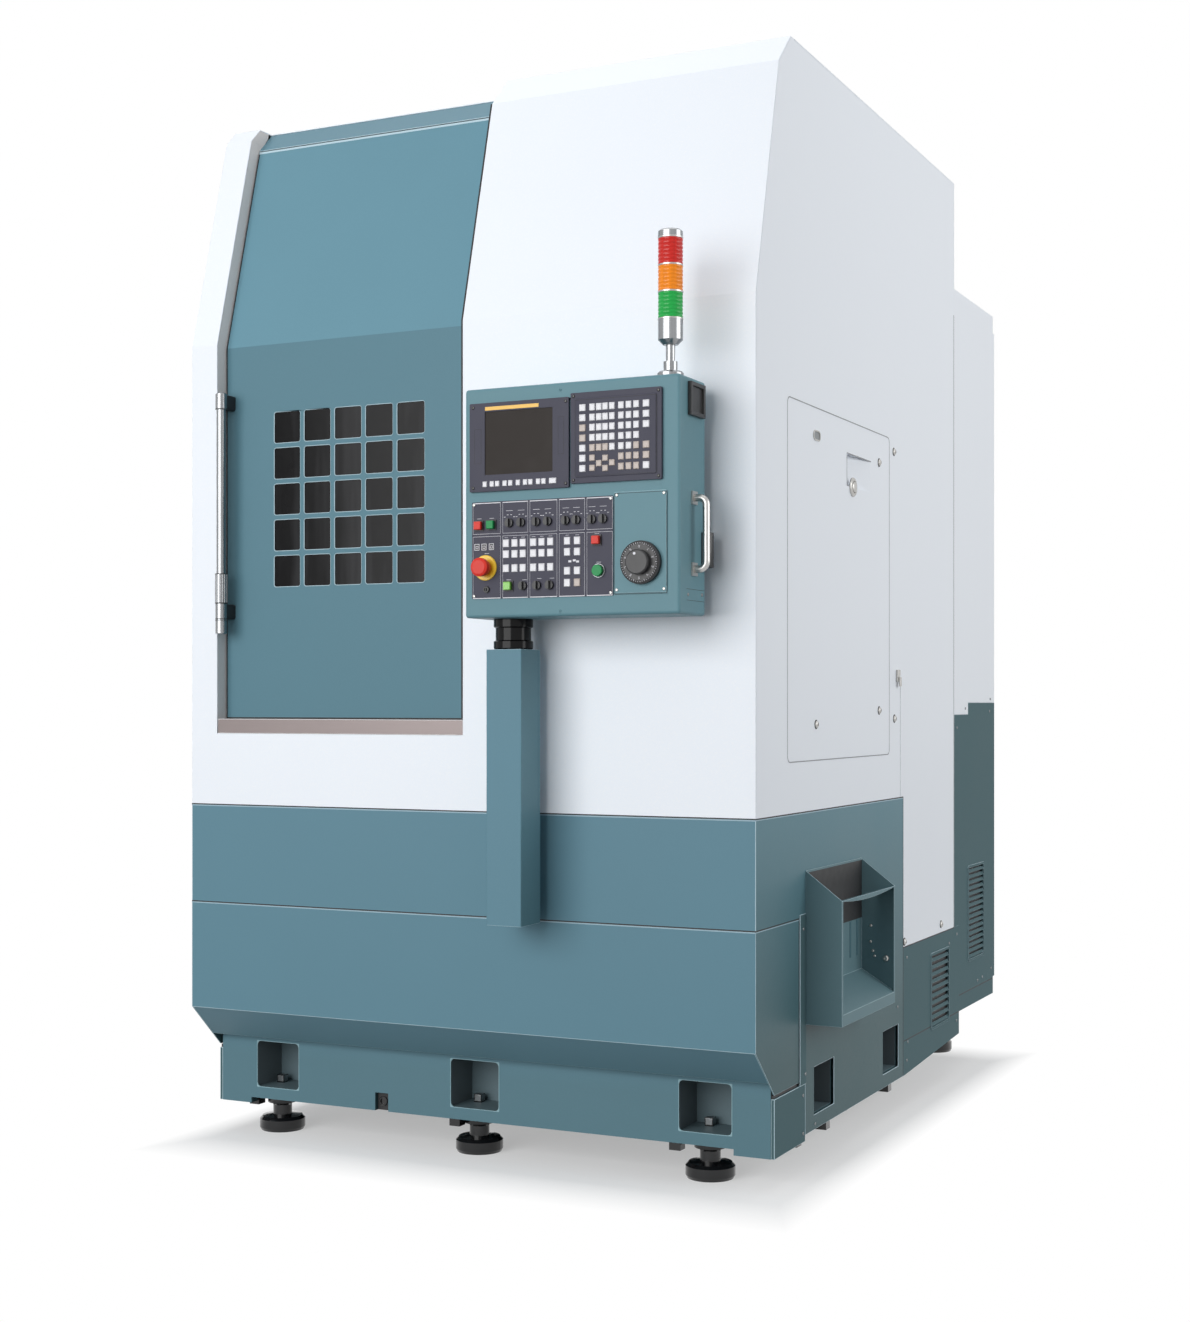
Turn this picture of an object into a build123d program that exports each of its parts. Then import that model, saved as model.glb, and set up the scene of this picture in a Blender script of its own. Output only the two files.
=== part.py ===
from build123d import *
import math
import os

# Vertical turning lathe with a sheet metal enclosure, in millimetres.
# X runs to the right of the front, Y to the back and Z up. The front plane is y = 0 while modelling,
# and every piece moves by the same offset at the end, so that the origin is at the base's centre.

# Overall sizes of the enclosure
body_width = 1700
body_depth = 1810
crease_z = 2232
slant_run = 161
slant_top = 2846
bevel = 87
bay_bevel = 43
base_bottom = 100
band_bottom = 667
band_top = 941
sheet = 3
seam = 0.3
fit = 0.3
running_fit = 0.05
# How far a cut runs past the face that it opens
over = 1
roof_flange = 30

left_x = -body_width / 2
right_x = body_width / 2
roof_z = slant_top + bevel
bay_roof_z = slant_top + bay_bevel

# Door bay in the front, and the door that slides behind the right panel
bay_left = -763
bay_right = 28
sill_bottom = 1142
door_bottom = 1183
door_recess = 41
door_left = -760
door_right = 60
door_top_drop = 15
door_flange = 30
sill_depth = 72
door_travel = 700
window_count = 5
window_left = -598
window_bottom = 1551
window_hole = 85
window_pitch = 100
window_corner = 6
glass_margin = 14
glass_thickness = 6
glass_frame = 20
handle_x = -743
handle_y = -8
handle_bottom = 1420
handle_top = 2092
handle_radius = 13
handle_cap_radius = 16
handle_cap_length = 46
handle_cap_overhang = 40
sleeve_length = 80
sleeve_radius = 17
sleeve_flutes = 16
flute_radius = 1.6
bracket_width = 26
bracket_inset = 2
handle_chamfer = 2
tube_inset = 5

# Base casting, its feet and the sheets round it
plinth_front = 130
plinth_gap = 7
plinth_half = right_x - sheet - plinth_gap
slant_edge_z = 370
slant_foot_y = 96
slant_foot_z = 280
apron_lip = 70
cheek_foot_z = 245
apron_side = 312
casting_front = 180
casting_back = body_depth - 110
casting_step = 60
casting_half = plinth_half - casting_step
casting_top = 640
casting_wall = 50
rib_thickness = 40
front_pockets = ((-720, -577), (-84, 66), (589, 736))
pocket_bottom = 132
pocket_top = 264
pocket_depth = 120
side_pockets = ((427, 590), (1032, 1186))
side_pocket_bottom = 140
side_pocket_top = 265
pocket_bolt = 23
cable_notch = (-324, -282)
cable_notch_top = 150
foot_places = ((-690, 212), (-44, 220), (640, 220), (-640, 1150), (640, 1150),
               (-655, body_depth + 439), (655, body_depth + 439))
pad_radius = 65
pad_height = 40
pad_neck_radius = 27
pad_rim = 8
pad_socket = 12
foot_flange_radius = 42
foot_flange = 22
screw_radius = 18
screw_depth = 60
spindle_room = 20
base_columns = 3
base_rows = 3
lug_size = 32
lug_drop = 27
front_lugs = ((549, 160), (-105, 160), (-768, 160))
side_lug_places = (325, 553, 1115)
side_sheet_back = 1236
strip_width = 46
corner_cover_depth = 10
corner_cover_back = 358
corner_cover_bottom = 84
corner_foot = (100, 30)
tail_half = 700
tail_bottom = 122
foot_boss_radius = 50
strip_lap = 12
strip_drop = 10

# Chip chute on the right side
chute_front = 360
chute_width = 465
chute_reach = 100
chute_bottom = 388
chute_outer_top = 714
chute_inner_top = 790
chute_lip = 30
shelf_rise = 62
hood_plate_depth = 52
hood_plate_drop = 14
hood_lip_sag = 12
chute_edge = 10

# Louvred cover behind the chute, and the cabinet at the back
louvre_back = body_depth + 60
white_foot = 490
skirt_front = base_bottom
skirt_rear = 132
louvre_window = (side_sheet_back + 304, side_sheet_back + 501, 201, 427)
louvre_count = 10
slat_lean = 9
slat_thickness = 2
slat_inset = 2
louvre_border = 8
cabinet_inset = 15
cabinet_half = right_x - cabinet_inset
cabinet_depth = 570
cabinet_back = body_depth + cabinet_depth
base_back = cabinet_back - 80
cabinet_top = 2600
cabinet_split = 1187
cabinet_step = 40
cabinet_step_y = body_depth + 232
cabinet_bottom = 195
cabinet_plate = 20
cabinet_plate_top = 2541
cabinet_skirt = 60
cabinet_louvre = (body_depth + 235, body_depth + 430, 355, 665)
cabinet_louvre_count = 16

# Cover in the right side
cover_front = 223
cover_back = 1096
cover_bottom = 1074
cover_top = 2010
cover_corner = 18
cover_gap = 2
cover_ring = 15
grip_front = 701
grip_back = 918
grip_bottom = 1830
grip_top = 1919
grip_depth = 22
lower_seam_y = 1205
lower_seam_top = 1307
seam_width = 4
seam_depth = 1

# Pendant, with its post
post_left = 183
post_width = 100
post_front = -152
post_depth = 105
post_top = 1362
post_wall = 4
post_bracket = 60
post_bracket_inset = 28
post_corner = 3
neck_height = 77
neck_radius = 50
neck_waist = 45
neck_ring = 20
neck_taper = 3
case_left = 152
case_right = 737
case_front = -205
case_back = -47
case_height = 571
case_corner = 8
case_wall = 3
unit_thickness = 8
unit_body = 60
plate_thickness = 3
screen_unit_size = (170, 446, 1752, 1972)
screen_size = (213, 402, 1793, 1950)
key_unit_size = (451, 693, 1760, 1980)
operator_size = (174, 563, 1486, 1727)
wheel_plate_size = (566, 704, 1491, 1735)
body_margin = 12
plate_corner = 3
glass_recess = 2
screen_thickness = 3
raised_margin = 14
raised_height = 2
key_height = 3
lamp_x = 693
lamp_y = -160
lamp_radius = 30
lamp_flange_radius = 32
lamp_flange = 12
lamp_collar_radius = 17
lamp_collar = 24
lamp_tube_radius = 11
lamp_tube = 40
lamp_foot = 50
lamp_taper = 12
lamp_tiers = (65, 64, 66)
lamp_cap = 19
lamp_bevel = 4
tier_rib_count = 7
tier_rib = 1
grip_y = -121
side_grip_bottom = 1537
side_grip_top = 1733
side_grip_reach = 42
side_grip_radius = 9
side_grip_foot = 32
side_grip_foot_thickness = 4
side_grip_foot_drop = 12
side_grip_bend = 18
socket_size = (-157, -70, 1917, 1998)
socket_reach = 10
socket_rim = 10
socket_floor = 4
latch_place = (-52, 1557, 1642)
latch_radius = 22

# Controls on the pendant
estop_place = (213, 1563)
estop_ring_radius = 31.5
estop_ring_height = 4
estop_radius = 23
estop_stem = 16
estop_rim = 14
estop_height = 38
estop_travel = 6
wheel_place = (639, 1563)
wheel_radius = 52
wheel_height = 16
wheel_knob_radius = 30
wheel_knob = 16
wheel_bevel = 5
wheel_bevel_width = 8
wheel_shaft = 10
button_side = 20
button_height = 9
button_travel = 4
button_stem = 6
button_chamfer = 1.5
button_corner = 2
knob_chamfer = 3
start_radius = 14
power_off_place = (195, 1668)
power_on_place = (230, 1669)
stop_place = (520, 1621)
start_place = (525, 1547)
light_place = (278, 1516)
selector_places = (
    (280, 1672), (313, 1672), (355, 1672), (387, 1672), (436, 1672), (465, 1672), (507, 1672), (537, 1672),
    (318, 1516), (357, 1516), (392, 1516),
)
selector_radius = 11
selector_height = 14
selector_bar = 6

# Key caps: sizes as width and height, columns and rows from the key unit's left and top edges
soft_key_count = 11
soft_key_start = (208, 1770)
soft_key_pitch = 20
soft_key_size = (12, 14)
key_row_count = 7
key_top = 38
key_pitch = 24.5
key_size = (15, 17)
wide_key_size = (17, 17)
edge_columns = (34, 203)
letter_columns = (60, 78, 95, 113)
number_columns = (137, 157, 177)
letter_row_count = 5
short_row_index = 3
arrow_size = (15, 15)
arrows = ((60, 160.5), (60, 185), (95, 162.5), (95, 187), (78, 174.5), (113, 174.5))
plate_key_size = (17, 19)
plate_key_groups = (
    ((271, 295, 318, 347, 370, 394), (1622, 1595, 1560)),
    ((440, 467), (1622, 1595, 1549, 1520)),
)
lamp_key_size = (14, 16)
lamp_key_group = ((189, 209, 230), (1615,))

# Spindle, chuck and jaws
table_x = -300
table_y = 560
spindle_radius = 110
spindle_bottom = 320
nose_radius = 170
nose_height = 25
headstock_radius = 300
headstock_top = 915
headstock_foot = 360
headstock_foot_height = 50
headstock_flange = 60
headstock_rim = 40
headstock_taper = 30
spindle_chamfer = 10
chuck_radius = 280
chuck_height = 120
chuck_bore = 60
chuck_back = 30
chuck_floor = 20
chuck_groove = 4
chuck_groove_z = 40
chuck_chamfer = 6
jaw_count = 3
jaw_start = 120
jaw_length = 130
jaw_width = 50
jaw_slot = 40
jaw_foot = 16
jaw_foot_width = 72
jaw_rise = 60
jaw_step = 45
jaw_low = 12

# Column, rails, saddle, ram and turret
column_left = -700
column_right = 600
column_front = 950
column_back = body_depth - 310
column_top = slant_top - 96
column_wall = 60
column_cell_columns = 2
column_cell_rows = 4
rail_heights = (2090, 2460)
rail_height = 45
rail_depth = 35
rail_inset = 20
ram_x = 250
ram_y = 560
ram_width = 220
ram_depth = 200
ram_bottom = 1600
ram_length = 1040
ram_chamfer = 8
saddle_half = 170
saddle_bottom = 2000
saddle_height = 550
saddle_wall = 40
carriage_half = 50
carriage_length = 90
carriage_gap = 2
saddle_gap = 12
saddle_saver = 60
saddle_saver_wall = 40
turret_z = 1700
turret_flat = 190
turret_thickness = 100
turret_sides = 8
turret_axle = 60
turret_hub = 80
turret_hub_height = 15
turret_axle_depth = 120
holder_width = 60
holder_height = 34
holder_inset = 5
tool_size = 25
tool_reach = 26
tool_offset = 22

# Sheet lining of the work chamber
chamber_left = -790
chamber_right = 640
chamber_front = 80
chamber_back = 940
chamber_floor = 760
floor_fall = 70
chamber_top = 1900
chamber_wall = 4
cheek_gap = 20


def block(x, y, z):
    """A box between the two limits given along each axis."""
    body = Box(x[1] - x[0], y[1] - y[0], z[1] - z[0], align=(Align.MIN, Align.MIN, Align.MIN))
    return Pos(x[0], y[0], z[0]) * body


def profile_x(points, x0, x1):
    """A closed outline of (y, z) points carried from x0 to x1."""
    face = make_face(Polyline(*[(x0, y, z) for y, z in points], close=True))
    return extrude(face, amount=x1 - x0, dir=(1, 0, 0))


def profile_y(points, y0, y1):
    """A closed outline of (x, z) points carried from y0 to y1."""
    face = make_face(Polyline(*[(x, y0, z) for x, z in points], close=True))
    return extrude(face, amount=y1 - y0, dir=(0, 1, 0))


def profile_z(points, z0, z1):
    """A closed outline of (x, y) points carried from z0 to z1."""
    face = make_face(Polyline(*[(x, y, z0) for x, y in points], close=True))
    return extrude(face, amount=z1 - z0, dir=(0, 0, 1))


def rod(axis, radius, place, low, high):
    """A round bar along an axis; place holds its two other coordinates in X, Y, Z order."""
    bar = Cylinder(radius, high - low, align=(Align.CENTER, Align.CENTER, Align.MIN))
    if axis == "x":
        return Pos(low, place[0], place[1]) * Rot(0, 90, 0) * bar
    if axis == "y":
        return Pos(place[0], low, place[1]) * Rot(-90, 0, 0) * bar
    return Pos(place[0], place[1], low) * bar


def turned(points, place):
    """A round piece about a vertical axis, from its (radius, z) half section."""
    face = make_face(Polyline(*[(r, 0, z) for r, z in points], close=True))
    return Pos(place[0], place[1], 0) * revolve(face, Axis.Z)


def shifted(points, distance):
    """An open outline moved to the right of its direction, with mitred corners."""
    sides = []
    for (a, b), (c, d) in zip(points, points[1:]):
        length = math.hypot(c - a, d - b)
        sides.append(((d - b) / length, (a - c) / length))
    moved = []
    for i, (a, b) in enumerate(points):
        before = sides[max(i - 1, 0)]
        after = sides[min(i, len(sides) - 1)]
        scale = distance / (1 + before[0] * after[0] + before[1] * after[1])
        moved.append((a + scale * (before[0] + after[0]), b + scale * (before[1] + after[1])))
    return moved


def band(points, near, far):
    """The closed outline between two parallels of an open outline."""
    return shifted(points, near) + shifted(points, far)[::-1]


def rounded_plate(axis, size, corner, low, high):
    """A plate with round corners; size holds the limits along the two other axes, in X, Y, Z order."""
    a0, a1, b0, b1 = size
    plate = extrude(RectangleRounded(a1 - a0, b1 - b0, corner), amount=high - low)
    if axis == "x":
        turn = Plane(origin=(low, (a0 + a1) / 2, (b0 + b1) / 2), x_dir=(0, 1, 0), z_dir=(1, 0, 0))
    else:
        turn = Plane(origin=((a0 + a1) / 2, high, (b0 + b1) / 2), x_dir=(1, 0, 0), z_dir=(0, -1, 0))
    return turn.location * plate


def grown(size, amount):
    """The limits of a plate moved outwards on every side."""
    return (size[0] - amount, size[1] + amount, size[2] - amount, size[3] + amount)


def slant_point(z):
    """The point of the sloped front face at a height."""
    return (slant_run * (z - crease_z) / (slant_top - crease_z), z)


def front_line(start_z, top):
    """The enclosure's front outline from a height up to a roof level, with its top flange."""
    run = slant_run + top - slant_top
    return [(0, start_z), (0, crease_z), (slant_run, slant_top), (run, top), (run + roof_flange, top)]


# Enclosure sheets

panel_bottom = band_top + seam
side_skin = (right_x - sheet, right_x)
back_y = body_depth - sheet


def front_panel():
    """White front: right panel, left strip and the wall under the door, folded as one sheet."""
    right_line = front_line(panel_bottom, roof_z)
    left_line = front_line(panel_bottom, bay_roof_z)
    right = profile_x(band(right_line, 0, sheet), bay_right, right_x)
    left = profile_x(band(left_line, 0, sheet), left_x, bay_left)
    under_door = block((left_x, right_x), (0, sheet), (panel_bottom, sill_bottom))
    edge_line = front_line(door_bottom, roof_z)
    edge = profile_x(band(edge_line, 0, door_recess - seam), bay_right, bay_right + sheet)
    return right + left + under_door + edge


def side_outline(top):
    """The outline of a white side, inside the front, roof and back sheets."""
    line = shifted(front_line(panel_bottom, top), sheet + seam)
    rear = back_y - seam
    return line + [(rear, top - sheet - seam), (rear, white_foot), (side_sheet_back, white_foot),
                   (side_sheet_back, panel_bottom)]


def right_side_panel():
    skin = profile_x(side_outline(roof_z), *side_skin)
    opening = (cover_front, cover_back, cover_bottom, cover_top)
    inner = right_x - sheet
    ring = rounded_plate("x", grown(opening, cover_ring), cover_corner, inner - sheet, inner)
    hole = rounded_plate("x", grown(opening, -cover_ring), cover_corner, inner - 2 * sheet, inner)
    recess = rounded_plate("x", opening, cover_corner, inner, right_x + over)
    groove = block((right_x - seam_depth, right_x + over), (lower_seam_y, lower_seam_y + seam_width),
                   (white_foot - over, lower_seam_top))
    return (skin - recess) + (ring - hole) - groove


def left_side_panel():
    return profile_x(side_outline(bay_roof_z), left_x, left_x + sheet)


def access_cover():
    """Flush cover with a pressed finger grip whose floor slopes out to the surface."""
    inner = right_x - sheet
    opening = (cover_front, cover_back, cover_bottom, cover_top)
    plate = rounded_plate("x", grown(opening, -cover_gap), cover_corner - cover_gap, inner, right_x)
    wall = sheet
    tray = profile_z([(inner, grip_front - wall), (inner - grip_depth, grip_front - wall),
                      (inner, grip_back)], grip_bottom - wall, grip_top + wall)
    scoop = profile_z([(right_x + over, grip_front), (right_x - grip_depth, grip_front),
                       (right_x + over, grip_back)], grip_bottom, grip_top)
    return plate + tray - scoop


def roof_panel():
    """Roof with its step down over the door bay, cut back behind the bay's header."""
    steps = [(left_x, bay_roof_z), (bay_right, bay_roof_z), (bay_right, roof_z), (right_x, roof_z)]
    start = slant_run + bevel + roof_flange + seam
    end = body_depth
    main = profile_y(band(steps, 0, sheet), start, end)
    strip_start = slant_run + bay_bevel + roof_flange + seam
    over_strip = block((left_x, bay_left), (strip_start, start), (bay_roof_z - sheet, bay_roof_z))
    over_bay = block((bay_left, bay_right - seam), (header_end()[0], start), (bay_roof_z - sheet, bay_roof_z))
    return main + over_strip + over_bay


def back_panel():
    """Back wall, behind the side sheets and under the roof."""
    top = roof_z - sheet - seam
    low_top = bay_roof_z - sheet - seam
    outline = [(left_x, white_foot), (right_x, white_foot), (right_x, top), (bay_right + sheet + seam, top),
               (bay_right + sheet + seam, low_top), (left_x, low_top)]
    return profile_y(outline, back_y, body_depth)


# Door bay and door

def header_line():
    """Slope and bevel above the bay in the plane of the front, before they move back to the door's plane."""
    corner_drop = door_recess * math.sqrt(0.5)
    top = bay_roof_z - sheet - seam + corner_drop
    return [slant_point(crease_z), (slant_run, slant_top), (slant_run + top - slant_top, top)]


def header_end():
    return shifted(header_line(), door_recess)[-1]


def door_header():
    """Strip along the bevel above the door, in the door's plane."""
    outer = shifted(header_line(), door_recess)[1:]
    inner = shifted(header_line(), door_recess + sheet)[1:]
    return profile_x(outer + inner[::-1], bay_left + seam, bay_right - seam)


def door_frame():
    """Left jamb of the door bay: a strip that follows the folded front."""
    line = front_line(door_bottom, bay_roof_z - sheet)[:-1]
    depth = door_recess + door_flange
    return profile_x(band(line, sheet + seam, depth), bay_left - sheet, bay_left)


def door_sill():
    """Steel rail under the door, long enough to carry it behind the right panel."""
    end = door_right + door_travel
    body = block((bay_left, end), (sheet + seam, sheet + seam + sill_depth), (sill_bottom, door_bottom - fit))
    hollow = block((bay_left - over, end + over), (2 * sheet + seam, sill_depth),
                   (sill_bottom - over, door_bottom - 2 * sheet))
    return body - hollow


def door_outline():
    return [(0, door_bottom), (0, crease_z), slant_point(slant_top - door_top_drop)]


def window_limits():
    span = window_pitch * (window_count - 1) + window_hole
    return (window_left, window_left + span, window_bottom, window_bottom + span)


def door_panel():
    """Bent door: skin with a grid of rounded windows, side and bottom flanges and a glazing frame."""
    line = door_outline()
    skin = profile_x(band(line, door_recess, door_recess + sheet), door_left, door_right)
    flange_band = band(line, door_recess, door_recess + door_flange)
    left = profile_x(flange_band, door_left, door_left + sheet)
    right = profile_x(flange_band, door_right - sheet, door_right)
    bottom = block((door_left, door_right), (door_recess, door_recess + door_flange),
                   (door_bottom, door_bottom + sheet))
    back = door_recess + sheet
    pane = grown(window_limits(), glass_margin + fit)
    frame_depth = back + glass_thickness + fit
    frame = rounded_plate("y", grown(pane, glass_frame), window_corner, back, frame_depth)
    frame -= rounded_plate("y", pane, window_corner, back - over, frame_depth + over)
    holes = []
    for column in range(window_count):
        for row in range(window_count):
            x = window_left + column * window_pitch
            z = window_bottom + row * window_pitch
            size = (x, x + window_hole, z, z + window_hole)
            holes.append(rounded_plate("y", size, window_corner, door_recess - over, back + over))
    return (skin + left + right + bottom + frame) - holes


def door_glass():
    back = door_recess + sheet
    return rounded_plate("y", grown(window_limits(), glass_margin), window_corner - fit, back,
                         back + glass_thickness)


def door_handle():
    """Tube handle with steel ends and a fluted sleeve above the lower end."""
    place = (handle_x, handle_y)
    tube = rod("z", handle_radius, place, handle_bottom + tube_inset, handle_top - tube_inset)
    low_end = handle_bottom + handle_cap_overhang + handle_cap_length
    lower = rod("z", handle_cap_radius, place, handle_bottom, low_end)
    upper = rod("z", handle_cap_radius, place, handle_top - handle_cap_length, handle_top)
    sleeve = rod("z", sleeve_radius, place, low_end, low_end + sleeve_length)
    flutes = []
    for i in range(sleeve_flutes):
        angle = 2 * math.pi * i / sleeve_flutes
        x = handle_x + sleeve_radius * math.cos(angle)
        y = handle_y + sleeve_radius * math.sin(angle)
        flutes.append(rod("z", flute_radius, (x, y), low_end - over, low_end + sleeve_length + over))
    ends = chamfer((lower + upper).edges().filter_by(GeomType.CIRCLE), handle_chamfer)
    return tube + ends + (sleeve - flutes)


def handle_brackets():
    """Two stand-offs that hold the handle's steel ends off the door."""
    low = handle_bottom + handle_cap_overhang
    high = handle_top - handle_cap_length
    brackets = []
    for start in (low, high):
        half = bracket_width / 2
        body = block((handle_x - half, handle_x + half), (handle_y, door_recess),
                     (start + bracket_inset, start + handle_cap_length - bracket_inset))
        body = fillet(body.edges().filter_by(Axis.Y), bracket_width / 4)
        brackets.append(body - rod("z", handle_cap_radius, (handle_x, handle_y), start - over,
                                   handle_top + over))
    return brackets


# Base, feet, apron and waist band

plinth_top = slant_foot_z - sheet - seam


def base_casting():
    """Cast base: a plinth with lifting pockets under a ribbed box that carries headstock and column."""
    plinth = block((-plinth_half, plinth_half), (plinth_front, side_sheet_back), (base_bottom, plinth_top))
    rear = block((-plinth_half, plinth_half), (side_sheet_back, back_y), (cabinet_bottom, plinth_top))
    belly = block((-tail_half, tail_half), (side_sheet_back, back_y), (tail_bottom, cabinet_bottom))
    tail = block((-tail_half, tail_half), (back_y, base_back), (tail_bottom, cabinet_bottom - seam))
    casting = plinth + rear + belly + tail
    for side in (-1, 1):
        ends = sorted((side * plinth_half, side * (plinth_half - corner_foot[0])))
        casting += block(ends, (plinth_front, plinth_front + corner_foot[1]),
                         (corner_cover_bottom, base_bottom))
    for place in foot_places:
        casting += rod("z", foot_boss_radius, place, base_bottom, tail_bottom)
    body = block((-casting_half, casting_half), (casting_front, casting_back),
                 (plinth_top - over, casting_top))
    casting += body
    cuts = []
    for x0, x1 in front_pockets:
        cuts.append(block((x0, x1), (plinth_front - over, plinth_front + pocket_depth),
                          (pocket_bottom, pocket_top)))
    for y0, y1 in side_pockets:
        for side in (-1, 1):
            ends = sorted((side * (plinth_half + over), side * (plinth_half - pocket_depth)))
            cuts.append(block(ends, (y0, y1), (side_pocket_bottom, side_pocket_top)))
    cuts.append(block(cable_notch, (plinth_front - over, plinth_front + pocket_depth / 3),
                      (base_bottom - over, cable_notch_top)))
    inner_x = casting_half - casting_wall - pocket_depth / 2
    inner_front = casting_front + pocket_depth
    cell_x = (2 * inner_x + rib_thickness) / base_columns
    cell_y = (casting_back - casting_wall - inner_front + rib_thickness) / base_rows
    for i in range(base_columns):
        for j in range(base_rows):
            x0 = -inner_x + i * cell_x
            y0 = inner_front + j * cell_y
            cuts.append(block((x0, x0 + cell_x - rib_thickness), (y0, y0 + cell_y - rib_thickness),
                              (base_bottom - over, casting_top - casting_wall)))
    for place in foot_places:
        cuts.append(rod("z", screw_radius + running_fit, place, base_bottom - over,
                        base_bottom + screw_depth + over))
    spindle_way = spindle_radius + spindle_room
    cuts.append(rod("z", spindle_way, (table_x, table_y), base_bottom - over, casting_top + over))
    return casting - cuts


def floor_fixings():
    """Levelling screws, which end in a square in the front pockets, and the blocks for floor anchors."""
    fixings = []
    places = list(front_lugs)
    for y in side_lug_places:
        places += [(plinth_half - lug_size, y), (-plinth_half, y)]
    for x, y in places:
        fixings.append(block((x, x + lug_size), (y, y + lug_size), (base_bottom - lug_drop, base_bottom)))
    for x, y in foot_places:
        in_pocket = y < plinth_front + pocket_depth
        top = pocket_bottom if in_pocket else base_bottom + screw_depth
        screw = rod("z", screw_radius, (x, y), pad_height - pad_socket, top)
        screw += rod("z", foot_flange_radius, (x, y), base_bottom - foot_flange, base_bottom)
        if in_pocket:
            half = pocket_bolt / 2
            screw += block((x - half, x + half), (y - half, y + half), (top, top + pocket_bolt))
        fixings.append(screw)
    return fixings


def foot_pads():
    """Round floor pads, each with a chamfered rim, a neck and a socket for its screw."""
    neck_top = base_bottom - foot_flange - pad_rim
    section = [(0, 0), (pad_radius - pad_rim / 2, 0), (pad_radius, pad_rim),
               (pad_radius, pad_height - pad_rim),
               (pad_radius - pad_rim, pad_height), (pad_neck_radius, pad_height + pad_rim / 2),
               (pad_neck_radius, neck_top), (screw_radius + running_fit, neck_top),
               (screw_radius + running_fit, pad_height - pad_socket), (0, pad_height - pad_socket)]
    return [turned(section, place) for place in foot_places]


def front_apron():
    """Lower front with its underside sloped back to the plinth, closed by a cheek at each end."""
    line = [(0, band_bottom - seam), (0, slant_edge_z), (slant_foot_y, slant_foot_z),
            (slant_foot_y + apron_lip, slant_foot_z)]
    front = profile_x(band(line[::-1], 0, sheet), left_x, right_x)
    cheek = [(0, band_bottom - seam), (0, slant_edge_z), (plinth_front, cheek_foot_z),
             (apron_side, cheek_foot_z), (apron_side, band_bottom - seam)]
    right = profile_x(cheek, right_x - sheet, right_x)
    left = profile_x(cheek, left_x, left_x + sheet)
    return front + right + left


def corner_covers():
    """Strip and plinth cover at the front end of each long side."""
    covers = []
    for side in (-1, 1):
        face = sorted((side * right_x, side * (right_x + sheet)))
        covers.append(block(face, (apron_side, apron_side + strip_width),
                            (cheek_foot_z - strip_drop, band_bottom + strip_lap)))
        tray = sorted((side * (plinth_half + seam), side * (plinth_half + corner_cover_depth)))
        covers.append(block(tray, (plinth_front, corner_cover_back),
                            (corner_cover_bottom, cheek_foot_z - strip_drop - seam)))
    return covers


def waist_band():
    """Sheet round the waist whose sides run down to the bottom of the base, with lifting openings."""
    front = block((left_x, right_x), (0, sheet), (band_bottom, band_top))
    rear = side_sheet_back - seam
    step = corner_cover_back + seam
    upper = [(sheet, band_top), (rear, band_top), (rear, base_bottom), (step, base_bottom),
             (step, cheek_foot_z - strip_drop), (apron_side + seam, cheek_foot_z - strip_drop),
             (apron_side + seam, band_bottom), (sheet, band_bottom)]
    sides = []
    for side in (-1, 1):
        face = sorted((side * (right_x - sheet), side * right_x))
        skin = profile_x(upper, *face)
        for y0, y1 in side_pockets:
            skin -= block((face[0] - over, face[1] + over), (y0, y1), (side_pocket_bottom, side_pocket_top))
        sides.append(skin)
    return front + sides


def chip_chute():
    """Open hood: two cheeks with sloped tops, a shelf, a bottom lip and a curved plate across the top."""
    inner = right_x
    outer = right_x + chute_reach
    far = chute_front + chute_width
    cheek = [(inner, chute_bottom), (outer, chute_bottom), (outer, chute_outer_top), (inner, chute_inner_top)]
    near_cheek = profile_y(cheek, chute_front, chute_front + sheet)
    far_cheek = profile_y(cheek, far - sheet, far)
    back = block((inner, inner + sheet), (chute_front, far), (chute_bottom, chute_inner_top))
    lip = block((outer - sheet, outer), (chute_front, far), (chute_bottom, chute_bottom + chute_lip))
    shelf_front = chute_bottom + chute_lip
    shelf_line = [(outer, shelf_front), (inner, shelf_front + shelf_rise),
                  (inner, shelf_front + shelf_rise - sheet), (outer, shelf_front - sheet)]
    shelf = profile_y(shelf_line, chute_front, far)
    plate = profile_y([(outer, chute_outer_top), (outer, chute_outer_top - sheet),
                       (outer - hood_plate_depth, chute_outer_top - hood_plate_drop - sheet),
                       (outer - hood_plate_depth, chute_outer_top - hood_plate_drop)], chute_front, far)
    middle = (chute_front + far) / 2
    top = chute_outer_top
    near_low = (outer, chute_front, top - over)
    far_low = (outer, far, top - over)
    arc = ThreePointArc(near_low, (outer, middle, top - hood_lip_sag), far_low)
    chord = Polyline(far_low, (outer, far, top), (outer, chute_front, top), near_low)
    hood_lip = extrude(make_face(arc + chord), amount=sheet, dir=(-1, 0, 0))
    near_turn = block((outer - sheet, outer), (chute_front, chute_front + chute_edge),
                      (chute_bottom, chute_outer_top))
    far_turn = block((outer - sheet, outer), (far - chute_edge, far), (chute_bottom, chute_outer_top))
    return near_cheek + far_cheek + back + lip + shelf + plate + hood_lip + near_turn + far_turn


def louvred(skin, window, count, outer):
    """Adds a window of sloped slats, with a raised frame, to a side sheet whose face is at outer."""
    y0, y1, z0, z1 = window
    frame = rounded_plate("x", grown(window, louvre_border), louvre_border, outer - sheet, outer + sheet)
    opening = block((outer - sheet - over, outer + sheet + over), (y0, y1), (z0, z1))
    pitch = (z1 - z0) / count
    slats = []
    for i in range(count):
        z = z0 + i * pitch + slat_inset
        slats.append(profile_y([(outer + over, z), (outer + over, z + slat_thickness),
                                (outer - sheet, z + slat_thickness + slat_lean),
                                (outer - sheet, z + slat_lean)], y0, y1))
    return (skin + frame - opening) + slats


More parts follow.
